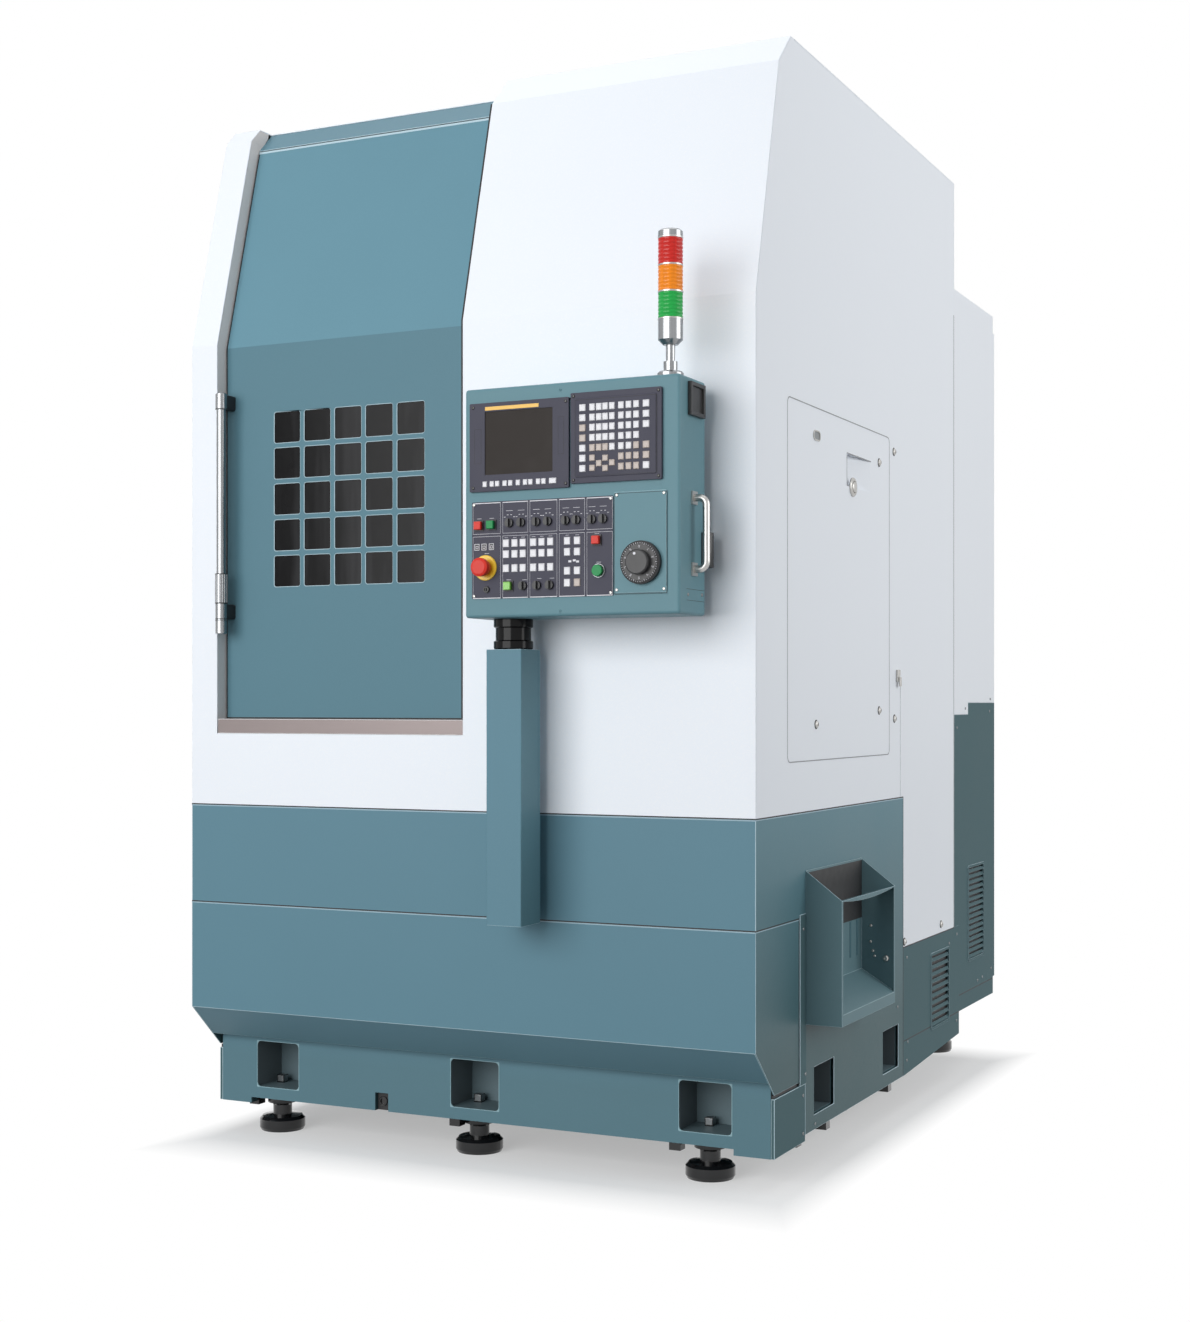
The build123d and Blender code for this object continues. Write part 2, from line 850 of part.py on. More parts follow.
def rear_skirts():
    """Covers behind the lifting pockets: the right one louvred, the left one plain and shorter."""
    top = white_foot - seam
    front = side_sheet_back
    right = [(front, skirt_front), (louvre_back, skirt_rear), (louvre_back, top), (front, top)]
    left = [(front, skirt_front), (body_depth, skirt_front), (body_depth, top), (front, top)]
    louvres = louvred(profile_x(right, *side_skin), louvre_window, louvre_count, right_x)
    return [louvres, profile_x(left, left_x, left_x + sheet)]


def stepped_back(shell, hollow, low, high, hollow_low):
    """Hollows a cabinet shell whose back wall bulges out between two heights."""
    bulge = block((-cabinet_half, cabinet_half), (cabinet_back - over, cabinet_back + cabinet_plate),
                  (low, high))
    inside = block((2 * sheet - cabinet_half, cabinet_half - 2 * sheet),
                   (cabinet_back - sheet - over, cabinet_back + cabinet_plate - sheet),
                   (hollow_low, high - sheet))
    return shell + bulge - hollow - inside


def rear_cabinet():
    """Upper shell of the cabinet behind the machine, open at its foot and towards the back wall."""
    floor = cabinet_split + seam
    step = cabinet_split + cabinet_step + seam
    front = body_depth + seam
    side = [(front, floor), (cabinet_step_y, floor), (cabinet_step_y, step), (cabinet_back, step),
            (cabinet_back, cabinet_top), (front, cabinet_top)]
    shell = profile_x(side, -cabinet_half, cabinet_half)
    hollow = block((sheet - cabinet_half, cabinet_half - sheet), (front - over, cabinet_back - sheet),
                   (floor - over, cabinet_top - sheet))
    return stepped_back(shell, hollow, step, cabinet_plate_top, step - over)


def rear_cabinet_base():
    """Lower shell of the cabinet, with louvres in its right side."""
    front = body_depth + seam
    step = cabinet_split + cabinet_step
    side = [(front, cabinet_bottom), (cabinet_back, cabinet_bottom), (cabinet_back, step),
            (cabinet_step_y + seam, step), (cabinet_step_y + seam, cabinet_split), (front, cabinet_split)]
    shell = profile_x(side, -cabinet_half, cabinet_half)
    hollow = block((sheet - cabinet_half, cabinet_half - sheet), (front - over, cabinet_back - sheet),
                   (cabinet_bottom + sheet, step + over))
    low = cabinet_bottom + cabinet_skirt
    body = stepped_back(shell, hollow, low, step, low + sheet)
    return louvred(body, cabinet_louvre, cabinet_louvre_count, cabinet_half)


# Spindle side of the machine

chuck_bottom = headstock_top + fit + nose_height
chuck_top = chuck_bottom + chuck_height


def headstock():
    """Spindle housing: a ribbed round casting on a square foot."""
    foot = block((table_x - headstock_foot, table_x + headstock_foot),
                 (table_y - headstock_foot, table_y + headstock_foot),
                 (casting_top, casting_top + headstock_foot_height))
    bore = spindle_radius + running_fit
    waist = headstock_radius - headstock_flange
    rim = headstock_top - headstock_rim
    shell = turned([(bore, casting_top), (waist, casting_top), (waist, rim - headstock_taper),
                    (headstock_radius, rim), (headstock_radius, headstock_top), (bore, headstock_top)],
                   (table_x, table_y))
    foot -= rod("z", bore, (table_x, table_y), casting_top - over, headstock_top)
    return foot + shell


def spindle():
    """Spindle shaft with its nose flange under the chuck."""
    r = spindle_radius
    low = headstock_top + fit
    return turned([(0, spindle_bottom), (r - spindle_chamfer, spindle_bottom),
                   (r, spindle_bottom + spindle_chamfer), (r, low), (nose_radius, low),
                   (nose_radius, chuck_bottom), (0, chuck_bottom)], (table_x, table_y))


def chuck():
    """Three jaw chuck body with a bore, a waist groove and a T slot for each jaw."""
    r = chuck_radius
    low = chuck_bottom + chuck_floor
    groove = chuck_top - chuck_groove_z
    body = turned([(0, chuck_bottom), (r - chuck_back, chuck_bottom), (r - chuck_back, low), (r, low),
                   (r, groove - chuck_groove), (r - chuck_groove, groove), (r, groove + chuck_groove),
                   (r, chuck_top - chuck_chamfer), (r - chuck_chamfer, chuck_top), (chuck_bore, chuck_top),
                   (chuck_bore, low), (0, low)], (table_x, table_y))
    slots = []
    for i in range(jaw_count):
        neck = block((0, r + over), (-jaw_width / 2, jaw_width / 2), (chuck_top - jaw_slot, chuck_top + over))
        foot = block((0, r + over), (-jaw_foot_width / 2, jaw_foot_width / 2),
                     (chuck_top - jaw_slot, chuck_top - jaw_slot + jaw_foot))
        slots.append(Pos(table_x, table_y, 0) * Rot(0, 0, i * 360 / jaw_count) * (neck + foot))
    return body - slots


def jaw(index):
    """Stepped jaw with a foot in the chuck's T slot."""
    floor = chuck_top - jaw_slot + fit
    start = jaw_start
    end = jaw_start + jaw_length
    half = jaw_width / 2 - fit
    steps = [(start, floor), (end, floor), (end, chuck_top + jaw_low), (end - jaw_step, chuck_top + jaw_low),
             (end - jaw_step, chuck_top + jaw_rise / 2), (start + jaw_step, chuck_top + jaw_rise / 2),
             (start + jaw_step, chuck_top + jaw_rise), (start, chuck_top + jaw_rise)]
    body = profile_y(steps, -half, half)
    wide = jaw_foot_width / 2 - fit
    foot = block((start, end), (-wide, wide), (floor, chuck_top - jaw_slot + jaw_foot - fit))
    return Pos(table_x, table_y, 0) * Rot(0, 0, index * 360 / jaw_count) * (body + foot)


# Column, carriage and turret

def column():
    """Cast column, ribbed and open at the back."""
    body = block((column_left, column_right), (column_front, column_back), (casting_top, column_top))
    width = (column_right - column_left - column_wall) / column_cell_columns
    height = (column_top - casting_top - column_wall) / column_cell_rows
    for i in range(column_cell_columns):
        for j in range(column_cell_rows):
            x0 = column_left + column_wall + i * width
            z0 = casting_top + column_wall + j * height
            body -= block((x0, x0 + width - column_wall), (column_front + column_wall, column_back + over),
                          (z0, z0 + height - column_wall))
    return body


def cross_rails():
    """Two guide rails across the column."""
    rails = []
    for z in rail_heights:
        half = rail_height / 2
        rails.append(block((column_left + rail_inset, column_right - rail_inset),
                           (column_front - rail_depth, column_front), (z - half, z + half)))
    return rails


def saddle():
    """Box saddle round the ram, with four carriages on the cross rails."""
    half_x = ram_width / 2 + fit
    half_y = ram_depth / 2 + fit
    front = ram_y - half_y - saddle_wall
    back = column_front - rail_depth - saddle_gap
    body = block((ram_x - saddle_half, ram_x + saddle_half), (front, back),
                 (saddle_bottom, saddle_bottom + saddle_height))
    body -= block((ram_x - half_x, ram_x + half_x), (ram_y - half_y, ram_y + half_y),
                  (saddle_bottom - over, saddle_bottom + saddle_height + over))
    body -= block((ram_x - saddle_half + saddle_saver, ram_x + saddle_half - saddle_saver),
                  (ram_y + half_y + saddle_wall, back - saddle_saver_wall),
                  (saddle_bottom - over, saddle_bottom + saddle_height - saddle_saver_wall))
    for z in rail_heights:
        rail = rail_height / 2 + fit
        for side in (-1, 1):
            ends = sorted((ram_x + side * saddle_half, ram_x + side * (saddle_half - carriage_length)))
            carriage = block(ends, (back, column_front - carriage_gap),
                             (z - carriage_half, z + carriage_half))
            slot = block((ends[0] - over, ends[1] + over), (column_front - rail_depth - fit, column_front),
                         (z - rail, z + rail))
            body += carriage - slot
    return body


def ram():
    """Square ram, bored near its foot for the turret's axle."""
    low = ram_x - ram_width / 2
    body = block((low, low + ram_width), (ram_y - ram_depth / 2, ram_y + ram_depth / 2),
                 (ram_bottom, ram_bottom + ram_length))
    body = chamfer(body.edges().filter_by(Axis.Z), ram_chamfer)
    return body - rod("x", turret_axle + running_fit, (ram_y, turret_z), low - over,
                      low + turret_axle_depth + fit)


turret_face = ram_x - ram_width / 2 - fit


def turret():
    """Eight sided turret disc with its axle."""
    corner = turret_flat / math.cos(math.pi / turret_sides)
    outline = RegularPolygon(corner, turret_sides, rotation=180 / turret_sides)
    disc = extrude(outline, amount=turret_thickness)
    place = Plane(origin=(turret_face - turret_thickness, ram_y, turret_z), x_dir=(0, 1, 0), z_dir=(1, 0, 0))
    disc = place.location * disc
    back = turret_face - turret_thickness
    hub = rod("x", turret_hub, (ram_y, turret_z), back - turret_hub_height, back)
    axle = rod("x", turret_axle, (ram_y, turret_z), turret_face, turret_face + turret_axle_depth)
    return disc + hub + axle


def tool_holders():
    """A holder with its square tool on each flat of the turret."""
    holders = []
    middle = turret_face - turret_thickness / 2
    for i in range(turret_sides):
        half = turret_thickness / 2 - holder_inset
        body = block((-half, half), (-holder_width / 2, holder_width / 2),
                     (turret_flat, turret_flat + holder_height))
        tool = block((-tool_size / 2, tool_size / 2), (tool_offset - tool_size, tool_offset),
                     (turret_flat + holder_height, turret_flat + holder_height + tool_reach))
        tip = block((-tool_size / 2, tool_size / 2), (tool_offset - tool_size / 2, tool_offset + tool_size),
                    (turret_flat + holder_height + tool_reach / 2, turret_flat + holder_height + tool_reach))
        angle = i * 360 / turret_sides
        holders.append(Pos(middle, ram_y, turret_z) * Rot(angle, 0, 0) * (body + tool + tip))
    return holders


def work_chamber():
    """Sheets that line the work space, open at the door, with a floor that falls to the right."""
    x0, x1, y0, y1 = chamber_left, chamber_right, chamber_front, chamber_back
    t = chamber_wall
    low = chamber_floor - floor_fall
    back = block((x0, x1), (y1 - t, y1), (low, chamber_top))
    left = block((x0, x0 + t), (y0, y1 - t - seam), (low, chamber_top))
    right = block((x1 - t, x1), (y0, y1 - t - seam), (low, chamber_top))
    inner = (x0 + t + seam, x1 - t - seam)
    front = block(inner, (y0, y0 + t), (low, sill_bottom))
    cheek = block((door_right + cheek_gap, inner[1]), (y0, y0 + t), (sill_bottom + seam, chamber_top))
    fall = floor_fall - t
    floor = profile_y([(inner[0], chamber_floor), (inner[1], chamber_floor - fall),
                       (inner[1], chamber_floor - fall - t), (inner[0], chamber_floor - t)],
                      y0 + t + seam, y1 - t - seam)
    hole = headstock_radius - headstock_flange + fit
    floor -= rod("z", hole, (table_x, table_y), low - over, chamber_floor + over)
    return [back, left, right, front, cheek, floor]


# Pendant

axis_x = post_left + post_width / 2
axis_y = post_front + post_depth / 2
case_bottom = post_top + neck_height
case_top = case_bottom + case_height
plate_front = case_front - plate_thickness
unit_front = case_front - unit_thickness


def pendant_post():
    """Square tube post, closed at the top, on a bracket from the front of the machine."""
    x0, x1 = post_left, post_left + post_width
    y0, y1 = post_front, post_front + post_depth
    tube = block((x0, x1), (y0, y1), (band_bottom, post_top))
    bore = block((x0 + post_wall, x1 - post_wall), (y0 + post_wall, y1 - post_wall),
                 (band_bottom - over, post_top - post_wall))
    brackets = []
    for z in (band_bottom + post_bracket, band_top + post_bracket):
        brackets.append(block((x0 + post_bracket_inset, x1 - post_bracket_inset), (y1, 0),
                              (z, z + post_bracket)))
    return fillet(tube.edges().filter_by(Axis.Z), post_corner) - bore + brackets


def pendant_neck():
    """Swivel collar: two rings round a narrower waist."""
    low = post_top + fit
    high = case_bottom
    section = [(0, low), (neck_radius - neck_taper, low), (neck_radius, low + neck_taper),
               (neck_radius, low + neck_ring), (neck_waist, low + neck_ring + neck_taper),
               (neck_waist, high - neck_ring - neck_taper), (neck_radius, high - neck_ring),
               (neck_radius, high), (0, high)]
    return turned(section, (axis_x, axis_y))


def pendant_case():
    """Hollow case, with openings behind the units and plates on its face."""
    size = (case_left, case_right, case_bottom, case_top)
    body = block((case_left, case_right), (case_front, case_back), (case_bottom, case_top))
    body = fillet(body.edges(), case_corner)
    body -= rounded_plate("y", grown(size, -case_wall), case_corner - case_wall, case_front + case_wall,
                          case_back - case_wall)
    for opening in (screen_unit_size, key_unit_size, operator_size, wheel_plate_size):
        body -= rounded_plate("y", grown(opening, fit - body_margin), plate_corner, case_front - over,
                              case_front + case_wall + over)
    return body


def unit(size, front, corner):
    """A face unit: a front plate on the case and a body that goes in through the case's opening."""
    plate = rounded_plate("y", size, corner, front, case_front)
    body = rounded_plate("y", grown(size, -body_margin), plate_corner, case_front, case_front + unit_body)
    return plate + body


def screen_unit():
    body = unit(screen_unit_size, unit_front, plate_corner)
    floor = unit_front + glass_recess + screen_thickness
    return body - rounded_plate("y", screen_size, button_corner, unit_front - over, floor)


def screen_glass():
    front = unit_front + glass_recess
    return rounded_plate("y", grown(screen_size, -fit), button_corner, front, front + screen_thickness)


def key_unit():
    """Key unit with a raised inner frame."""
    body = unit(key_unit_size, unit_front, plate_corner)
    raised = grown(key_unit_size, -raised_margin)
    return body + rounded_plate("y", raised, plate_corner, unit_front - raised_height, unit_front)


def key_places():
    """The (x, z, size, front) of every key cap on the units and the operator plate."""
    keys = []
    for i in range(soft_key_count):
        keys.append((soft_key_start[0] + i * soft_key_pitch, soft_key_start[1], soft_key_size, unit_front))
    front = unit_front - raised_height
    left = key_unit_size[0]
    rows = [key_unit_size[3] - key_top - key_pitch * i for i in range(key_row_count)]
    for row, z in enumerate(rows):
        columns = number_columns
        if row < letter_row_count:
            columns = letter_columns + number_columns
        for offset in columns:
            keys.append((left + offset, z, key_size, front))
        for offset in edge_columns:
            if row != short_row_index or offset == edge_columns[0]:
                keys.append((left + offset, z, wide_key_size, front))
    for offset, drop in arrows:
        keys.append((left + offset, key_unit_size[3] - drop, arrow_size, front))
    for columns, heights in plate_key_groups:
        for z in heights:
            keys += [(x, z, plate_key_size, plate_front) for x in columns]
    for z in lamp_key_group[1]:
        keys += [(x, z, lamp_key_size, plate_front) for x in lamp_key_group[0]]
    return keys


def key_caps():
    caps = []
    for x, z, (width, height), front in key_places():
        caps.append(block((x - width / 2, x + width / 2), (front - key_height, front),
                          (z - height / 2, z + height / 2)))
    return caps


def operator_plate():
    """Plate with a hole for the stem of every button."""
    body = unit(operator_size, plate_front, plate_corner)
    deep = case_front + unit_body + over
    for place in (power_off_place, power_on_place, stop_place, start_place, light_place):
        body -= rod("y", button_stem + running_fit, place, plate_front - over, deep)
    return body - rod("y", estop_stem + running_fit, estop_place, plate_front - over, deep)


def wheel_plate():
    body = unit(wheel_plate_size, plate_front, plate_corner)
    return body - rod("y", wheel_shaft + running_fit, wheel_place, plate_front - over,
                      case_front + unit_body + over)


def side_grip():
    """Bow grip with a foot plate at each end."""
    x0 = case_right
    reach = case_right + side_grip_reach - side_grip_radius
    low = side_grip_bottom + side_grip_foot_drop
    high = side_grip_top - side_grip_foot_drop
    path = FilletPolyline((x0, grip_y, low), (reach, grip_y, low), (reach, grip_y, high), (x0, grip_y, high),
                          radius=side_grip_bend)
    bow = sweep(Plane(origin=(x0, grip_y, low), z_dir=(1, 0, 0)) * Circle(side_grip_radius), path=path)
    feet = []
    for z in (low, high):
        half = side_grip_foot / 2
        feet.append(block((x0, x0 + side_grip_foot_thickness), (grip_y - half, grip_y + half),
                          (z - half, z + half)))
    return bow + feet


def side_fittings():
    """Socket box and rear latch on the case's right side."""
    y0, y1, z0, z1 = socket_size
    socket = block((case_right, case_right + socket_reach), (y0, y1), (z0, z1))
    socket -= block((case_right + socket_floor, case_right + socket_reach + over),
                    (y0 + socket_rim, y1 - socket_rim), (z0 + socket_rim, z1 - socket_rim))
    y, low, high = latch_place
    latch = rod("z", latch_radius, (case_right, y), low, high) & block(
        (case_right, case_right + latch_radius), (y - latch_radius, y + latch_radius), (low, high))
    return [socket, latch]


lamp_base = case_top + lamp_flange + lamp_collar + lamp_tube + lamp_taper + lamp_foot


def lamp_pole():
    """Flange, collar, tube and the silver foot of the lamp, with the cap on top."""
    z = case_top
    tube_low = z + lamp_flange + lamp_collar
    foot_low = tube_low + lamp_tube
    section = [(0, z), (lamp_flange_radius, z), (lamp_flange_radius, z + lamp_flange - lamp_bevel),
               (lamp_flange_radius - lamp_bevel, z + lamp_flange), (lamp_collar_radius, z + lamp_flange),
               (lamp_collar_radius, tube_low), (lamp_tube_radius, tube_low), (lamp_tube_radius, foot_low),
               (lamp_radius - lamp_taper, foot_low), (lamp_radius, foot_low + lamp_taper),
               (lamp_radius, foot_low + lamp_taper + lamp_foot), (0, foot_low + lamp_taper + lamp_foot)]
    cap_low = lamp_base + sum(lamp_tiers)
    cap_top = cap_low + lamp_cap
    cap = [(0, cap_low), (lamp_radius, cap_low), (lamp_radius, cap_top - lamp_bevel),
           (lamp_radius - lamp_bevel, cap_top), (0, cap_top)]
    return [turned(section, (lamp_x, lamp_y)), turned(cap, (lamp_x, lamp_y))]


def lamp_tier(index):
    """One ribbed lens of the lamp."""
    low = lamp_base + sum(lamp_tiers[:index])
    high = low + lamp_tiers[index]
    r = lamp_radius - tier_rib
    section = [(0, low)]
    pitch = (high - low) / tier_rib_count
    for i in range(tier_rib_count):
        z = low + i * pitch
        section += [(r, z), (r + tier_rib, z + pitch / 3), (r + tier_rib, z + 2 * pitch / 3)]
    section += [(r, high), (0, high)]
    return turned(section, (lamp_x, lamp_y))


def push_button(place, radius):
    """A cap on a stem that slides in the operator plate; square when no radius is given."""
    back = plate_front - button_travel - fit
    front = back - button_height
    stem = rod("y", button_stem, place, back, case_front + unit_body / 2)
    if radius:
        cap = rod("y", radius, place, front, back)
        cap = chamfer(cap.edges().sort_by(Axis.Y)[0], button_chamfer)
    else:
        half = button_side / 2
        size = (place[0] - half, place[0] + half, place[1] - half, place[1] + half)
        cap = rounded_plate("y", size, button_corner, front, back)
        cap = chamfer(cap.faces().sort_by(Axis.Y)[0].edges(), button_chamfer)
    return cap + stem


def estop_button():
    """Mushroom head on its stem."""
    x, z = estop_place
    back = plate_front - estop_ring_height - estop_travel - fit
    front = plate_front - estop_height
    half = [(0, front), (estop_radius - 2 * knob_chamfer, front), (estop_radius, front + knob_chamfer),
            (estop_radius, front + estop_rim), (estop_radius - knob_chamfer, back), (estop_stem, back),
            (estop_stem, case_front + unit_body / 2), (0, case_front + unit_body / 2)]
    face = make_face(Polyline(*[(r, y, 0) for r, y in half], close=True))
    return Pos(x, 0, z) * revolve(face, Axis.Y)


def estop_ring():
    front = plate_front - estop_ring_height
    ring = rod("y", estop_ring_radius, estop_place, front, plate_front)
    ring = chamfer(ring.edges().sort_by(Axis.Y)[0], button_chamfer)
    return ring - rod("y", estop_stem + running_fit, estop_place, front - over, plate_front + over)


def handwheel():
    """Graduated dial with a raised knob and a shaft into its plate."""
    x, z = wheel_place
    back = plate_front - fit
    front = back - wheel_height
    top = front - wheel_knob
    half = [(0, top), (wheel_knob_radius - knob_chamfer, top), (wheel_knob_radius, top + knob_chamfer),
            (wheel_knob_radius, front), (wheel_radius - wheel_bevel_width, front),
            (wheel_radius, front + wheel_bevel), (wheel_radius, back), (wheel_shaft, back),
            (wheel_shaft, case_front + unit_body / 2), (0, case_front + unit_body / 2)]
    face = make_face(Polyline(*[(r, y, 0) for r, y in half], close=True))
    return Pos(x, 0, z) * revolve(face, Axis.Y)


def selector_knobs():
    """Round selectors with a raised grip bar, all alike."""
    knobs = []
    for x, z in selector_places:
        front = plate_front - selector_height
        base = rod("y", selector_radius, (x, z), front + selector_height / 2, plate_front)
        half = selector_bar / 2
        bar = block((x - half, x + half), (front, front + selector_height / 2),
                    (z - selector_radius + over, z + selector_radius - over))
        knobs.append(base + bar)
    return knobs


pieces = {
    "base_casting": base_casting(),
    "floor_fixings": floor_fixings(),
    "foot_pads": foot_pads(),
    "front_apron": front_apron(),
    "corner_covers": corner_covers(),
    "waist_band": waist_band(),
    "chip_chute": chip_chute(),
    "rear_skirts": rear_skirts(),
    "front_panel": front_panel(),
    "right_side_panel": right_side_panel(),
    "left_side_panel": left_side_panel(),
    "roof_panel": roof_panel(),
    "back_panel": back_panel(),
    "access_cover": access_cover(),
    "door_frame": door_frame(),
    "door_sill": door_sill(),
    "door_header": door_header(),
    "rear_cabinet": rear_cabinet(),
    "rear_cabinet_base": rear_cabinet_base(),
    "pendant_post": pendant_post(),
    "column": column(),
    "headstock": headstock(),
    "cross_rails": cross_rails(),
    "work_chamber": work_chamber(),
    "spindle": spindle(),
    "chuck": chuck(),
    "saddle": saddle(),
    "ram": ram(),
    "turret": turret(),
    "tool_holders": tool_holders(),
    "door_panel": door_panel(),
    "door_glass": door_glass(),
    "door_handle": door_handle(),
    "handle_brackets": handle_brackets(),
    "pendant_neck": pendant_neck(),
    "pendant_case": pendant_case(),
    "screen_unit": screen_unit(),
    "screen_glass": screen_glass(),
    "key_unit": key_unit(),
    "key_caps": key_caps(),
    "operator_plate": operator_plate(),
    "wheel_plate": wheel_plate(),
    "side_grip": side_grip(),
    "side_fittings": side_fittings(),
    "lamp_pole": lamp_pole(),
    "estop_button": estop_button(),
    "estop_ring": estop_ring(),
    "handwheel": handwheel(),
    "power_off_button": push_button(power_off_place, None),
    "power_on_button": push_button(power_on_place, None),
    "stop_button": push_button(stop_place, None),
    "start_button": push_button(start_place, start_radius),
    "light_button": push_button(light_place, None),
    "selector_knobs": selector_knobs(),
}
for index in range(jaw_count):
    pieces["jaw_" + str(index + 1)] = jaw(index)
for index, colour in enumerate(("green", "amber", "red")):
    pieces["lamp_" + colour] = lamp_tier(index)

# The origin lies under the middle of the whole machine
low_y = plate_front - estop_height
high_y = cabinet_back + cabinet_plate
origin_x = (left_x - sheet + right_x + chute_reach) / 2
origin_y = (low_y + high_y) / 2

os.makedirs("parts", exist_ok=True)
for name, piece in pieces.items():
    if isinstance(piece, list):
        piece = Compound(children=[solid for item in piece for solid in item.solids()])
    export_step(Pos(-origin_x, -origin_y, 0) * piece, f"parts/{name}.step")
print("origin offset", origin_x, origin_y)
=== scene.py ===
import bpy
import bmesh
import math
from mathutils import Matrix, Vector


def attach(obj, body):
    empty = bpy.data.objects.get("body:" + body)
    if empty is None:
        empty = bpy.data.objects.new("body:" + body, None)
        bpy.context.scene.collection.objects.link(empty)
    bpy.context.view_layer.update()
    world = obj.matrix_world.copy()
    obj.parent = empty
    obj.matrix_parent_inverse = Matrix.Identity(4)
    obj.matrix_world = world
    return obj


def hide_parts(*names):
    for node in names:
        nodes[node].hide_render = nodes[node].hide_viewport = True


# A vertical turning lathe in its sheet metal enclosure.
# Places are in the machine's own measure: millimetres from the middle of the front sheet, at floor level.

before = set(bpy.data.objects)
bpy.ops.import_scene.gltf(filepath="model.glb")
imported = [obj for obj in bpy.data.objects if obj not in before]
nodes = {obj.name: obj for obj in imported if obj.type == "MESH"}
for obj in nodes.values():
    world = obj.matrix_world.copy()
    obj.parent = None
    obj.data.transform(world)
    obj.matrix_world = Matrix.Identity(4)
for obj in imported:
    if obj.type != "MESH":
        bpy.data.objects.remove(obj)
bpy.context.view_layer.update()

middle_x = 48.5
middle_y = 1077.0
front_of_units = -213
front_of_plates = -208
front_of_case = -205
case_side, case_top = 737, 2010
right_side = 850
cabinet_side = 835
bay_left, bay_right = -763, 28
door_face = 41
door_left, door_right = -760, 60
door_foot = 1183
crease_height = 2232
slant_top, slant_run = 2846, 161
fold_angle = math.atan(slant_run / (slant_top - crease_height))
apron_top, waist_top = 667, 941
white_foot = 490


def at(x, y, z):
    """A place in the machine's own measure, in the frame's metres."""
    return Vector((x - middle_x, y - middle_y, z)) / 1000


# Shader maths

class Value:
    """A number that varies over a surface and takes part in Python arithmetic."""

    def __init__(self, graph, socket):
        self.graph = graph
        self.socket = socket

    def __add__(self, other):
        return self.graph.math("ADD", self, other)

    def __radd__(self, other):
        return self.graph.math("ADD", other, self)

    def __sub__(self, other):
        return self.graph.math("SUBTRACT", self, other)

    def __rsub__(self, other):
        return self.graph.math("SUBTRACT", other, self)

    def __mul__(self, other):
        return self.graph.math("MULTIPLY", self, other)

    def __rmul__(self, other):
        return self.graph.math("MULTIPLY", other, self)


class Graph:
    """A node tree under construction; every node comes from one method."""

    def __init__(self, tree):
        self.tree = tree
        self.tree.nodes.clear()

    def node(self, kind, settings, sockets, output=0):
        """Adds a node: settings first, then the values or links of its sockets; gives one output."""
        made = self.tree.nodes.new(kind)
        for name, value in settings.items():
            if name == "stops":
                self.set_stops(made.color_ramp, value)
            else:
                setattr(made, name, value)
        for name, value in sockets.items():
            if isinstance(value, Value):
                self.tree.links.new(value.socket, made.inputs[name])
            else:
                made.inputs[name].default_value = value
        return Value(self, made.outputs[output]) if made.outputs else None

    @staticmethod
    def set_stops(ramp, stops):
        while len(ramp.elements) < len(stops):
            ramp.elements.new(0.5)
        for element, (position, colour) in zip(ramp.elements, stops):
            element.position = position
            element.color = (*colour, 1) if isinstance(colour, tuple) else (colour, colour, colour, 1)

    def math(self, operation, first, second=0.0):
        return self.node("ShaderNodeMath", {"operation": operation}, {0: first, 1: second})

    def ray(self, name):
        """1 for the named kind of ray, and 0 for the others."""
        return self.node("ShaderNodeLightPath", {}, {}, name)


class Finish(Graph):
    """A material under construction."""

    def __init__(self, name):
        self.material = bpy.data.materials.new(name)
        self.material.use_nodes = True
        super().__init__(self.material.node_tree)
        self.place = self.node("ShaderNodeTexCoord", {}, {}, "Object")
        self.facing = self.node("ShaderNodeTexCoord", {}, {}, "Normal")

    def clamped(self, value):
        return self.node("ShaderNodeClamp", {}, {"Value": value})

    def axis(self, name):
        """One coordinate of the piece's own place, in metres."""
        return self.node("ShaderNodeSeparateXYZ", {}, {0: self.place}, name)

    def square(self, name):
        """One part of the direction that the piece's own face looks in."""
        return self.node("ShaderNodeSeparateXYZ", {}, {0: self.facing}, name)

    def stretched(self, scale):
        return self.node("ShaderNodeMapping", {}, {"Vector": self.place, "Scale": scale})

    def noise(self, scale, detail=3.0, roughness=0.55, place=None):
        return self.node("ShaderNodeTexNoise", {"noise_dimensions": "3D"},
                         {"Vector": place or self.place, "Scale": scale, "Detail": detail,
                          "Roughness": roughness}, "Fac")

    def ramp(self, factor, *stops):
        return self.node("ShaderNodeValToRGB", {"stops": stops}, {"Fac": factor})

    def mixed(self, factor, first, second):
        """Two colours blended by a factor."""
        return self.node("ShaderNodeMix", {"data_type": "RGBA"}, {0: factor, 6: first, 7: second}, 2)

    def tinted(self, first, second):
        """Two colours multiplied."""
        return self.node("ShaderNodeMix", {"data_type": "RGBA", "blend_type": "MULTIPLY"},
                         {0: 1.0, 6: first, 7: second}, 2)

    def bump(self, height, depth, strength=1.0):
        return self.node("ShaderNodeBump", {}, {"Height": height, "Distance": depth, "Strength": strength},
                         "Normal")

    def shader(self, **sockets):
        named = {name.replace("_", " "): value for name, value in sockets.items()}
        return self.node("ShaderNodeBsdfPrincipled", {}, named)

    def done(self, shader):
        self.node("ShaderNodeOutputMaterial", {}, {"Surface": shader})
        return self.material


def tone(red, green, blue):
    """A colour as seen on screen, from 0 to 255, in the linear values that shaders take."""
    linear = []
    for part in (red, green, blue):
        share = part / 255
        linear.append(share / 12.92 if share <= 0.04045 else ((share + 0.055) / 1.055) ** 2.4)
    return (*linear, 1.0)


def shade(colour, share):
    """A colour made lighter or darker by a share."""
    return tuple(min(part * share, 1) for part in colour[:3]) + (1.0,)


# Finishes

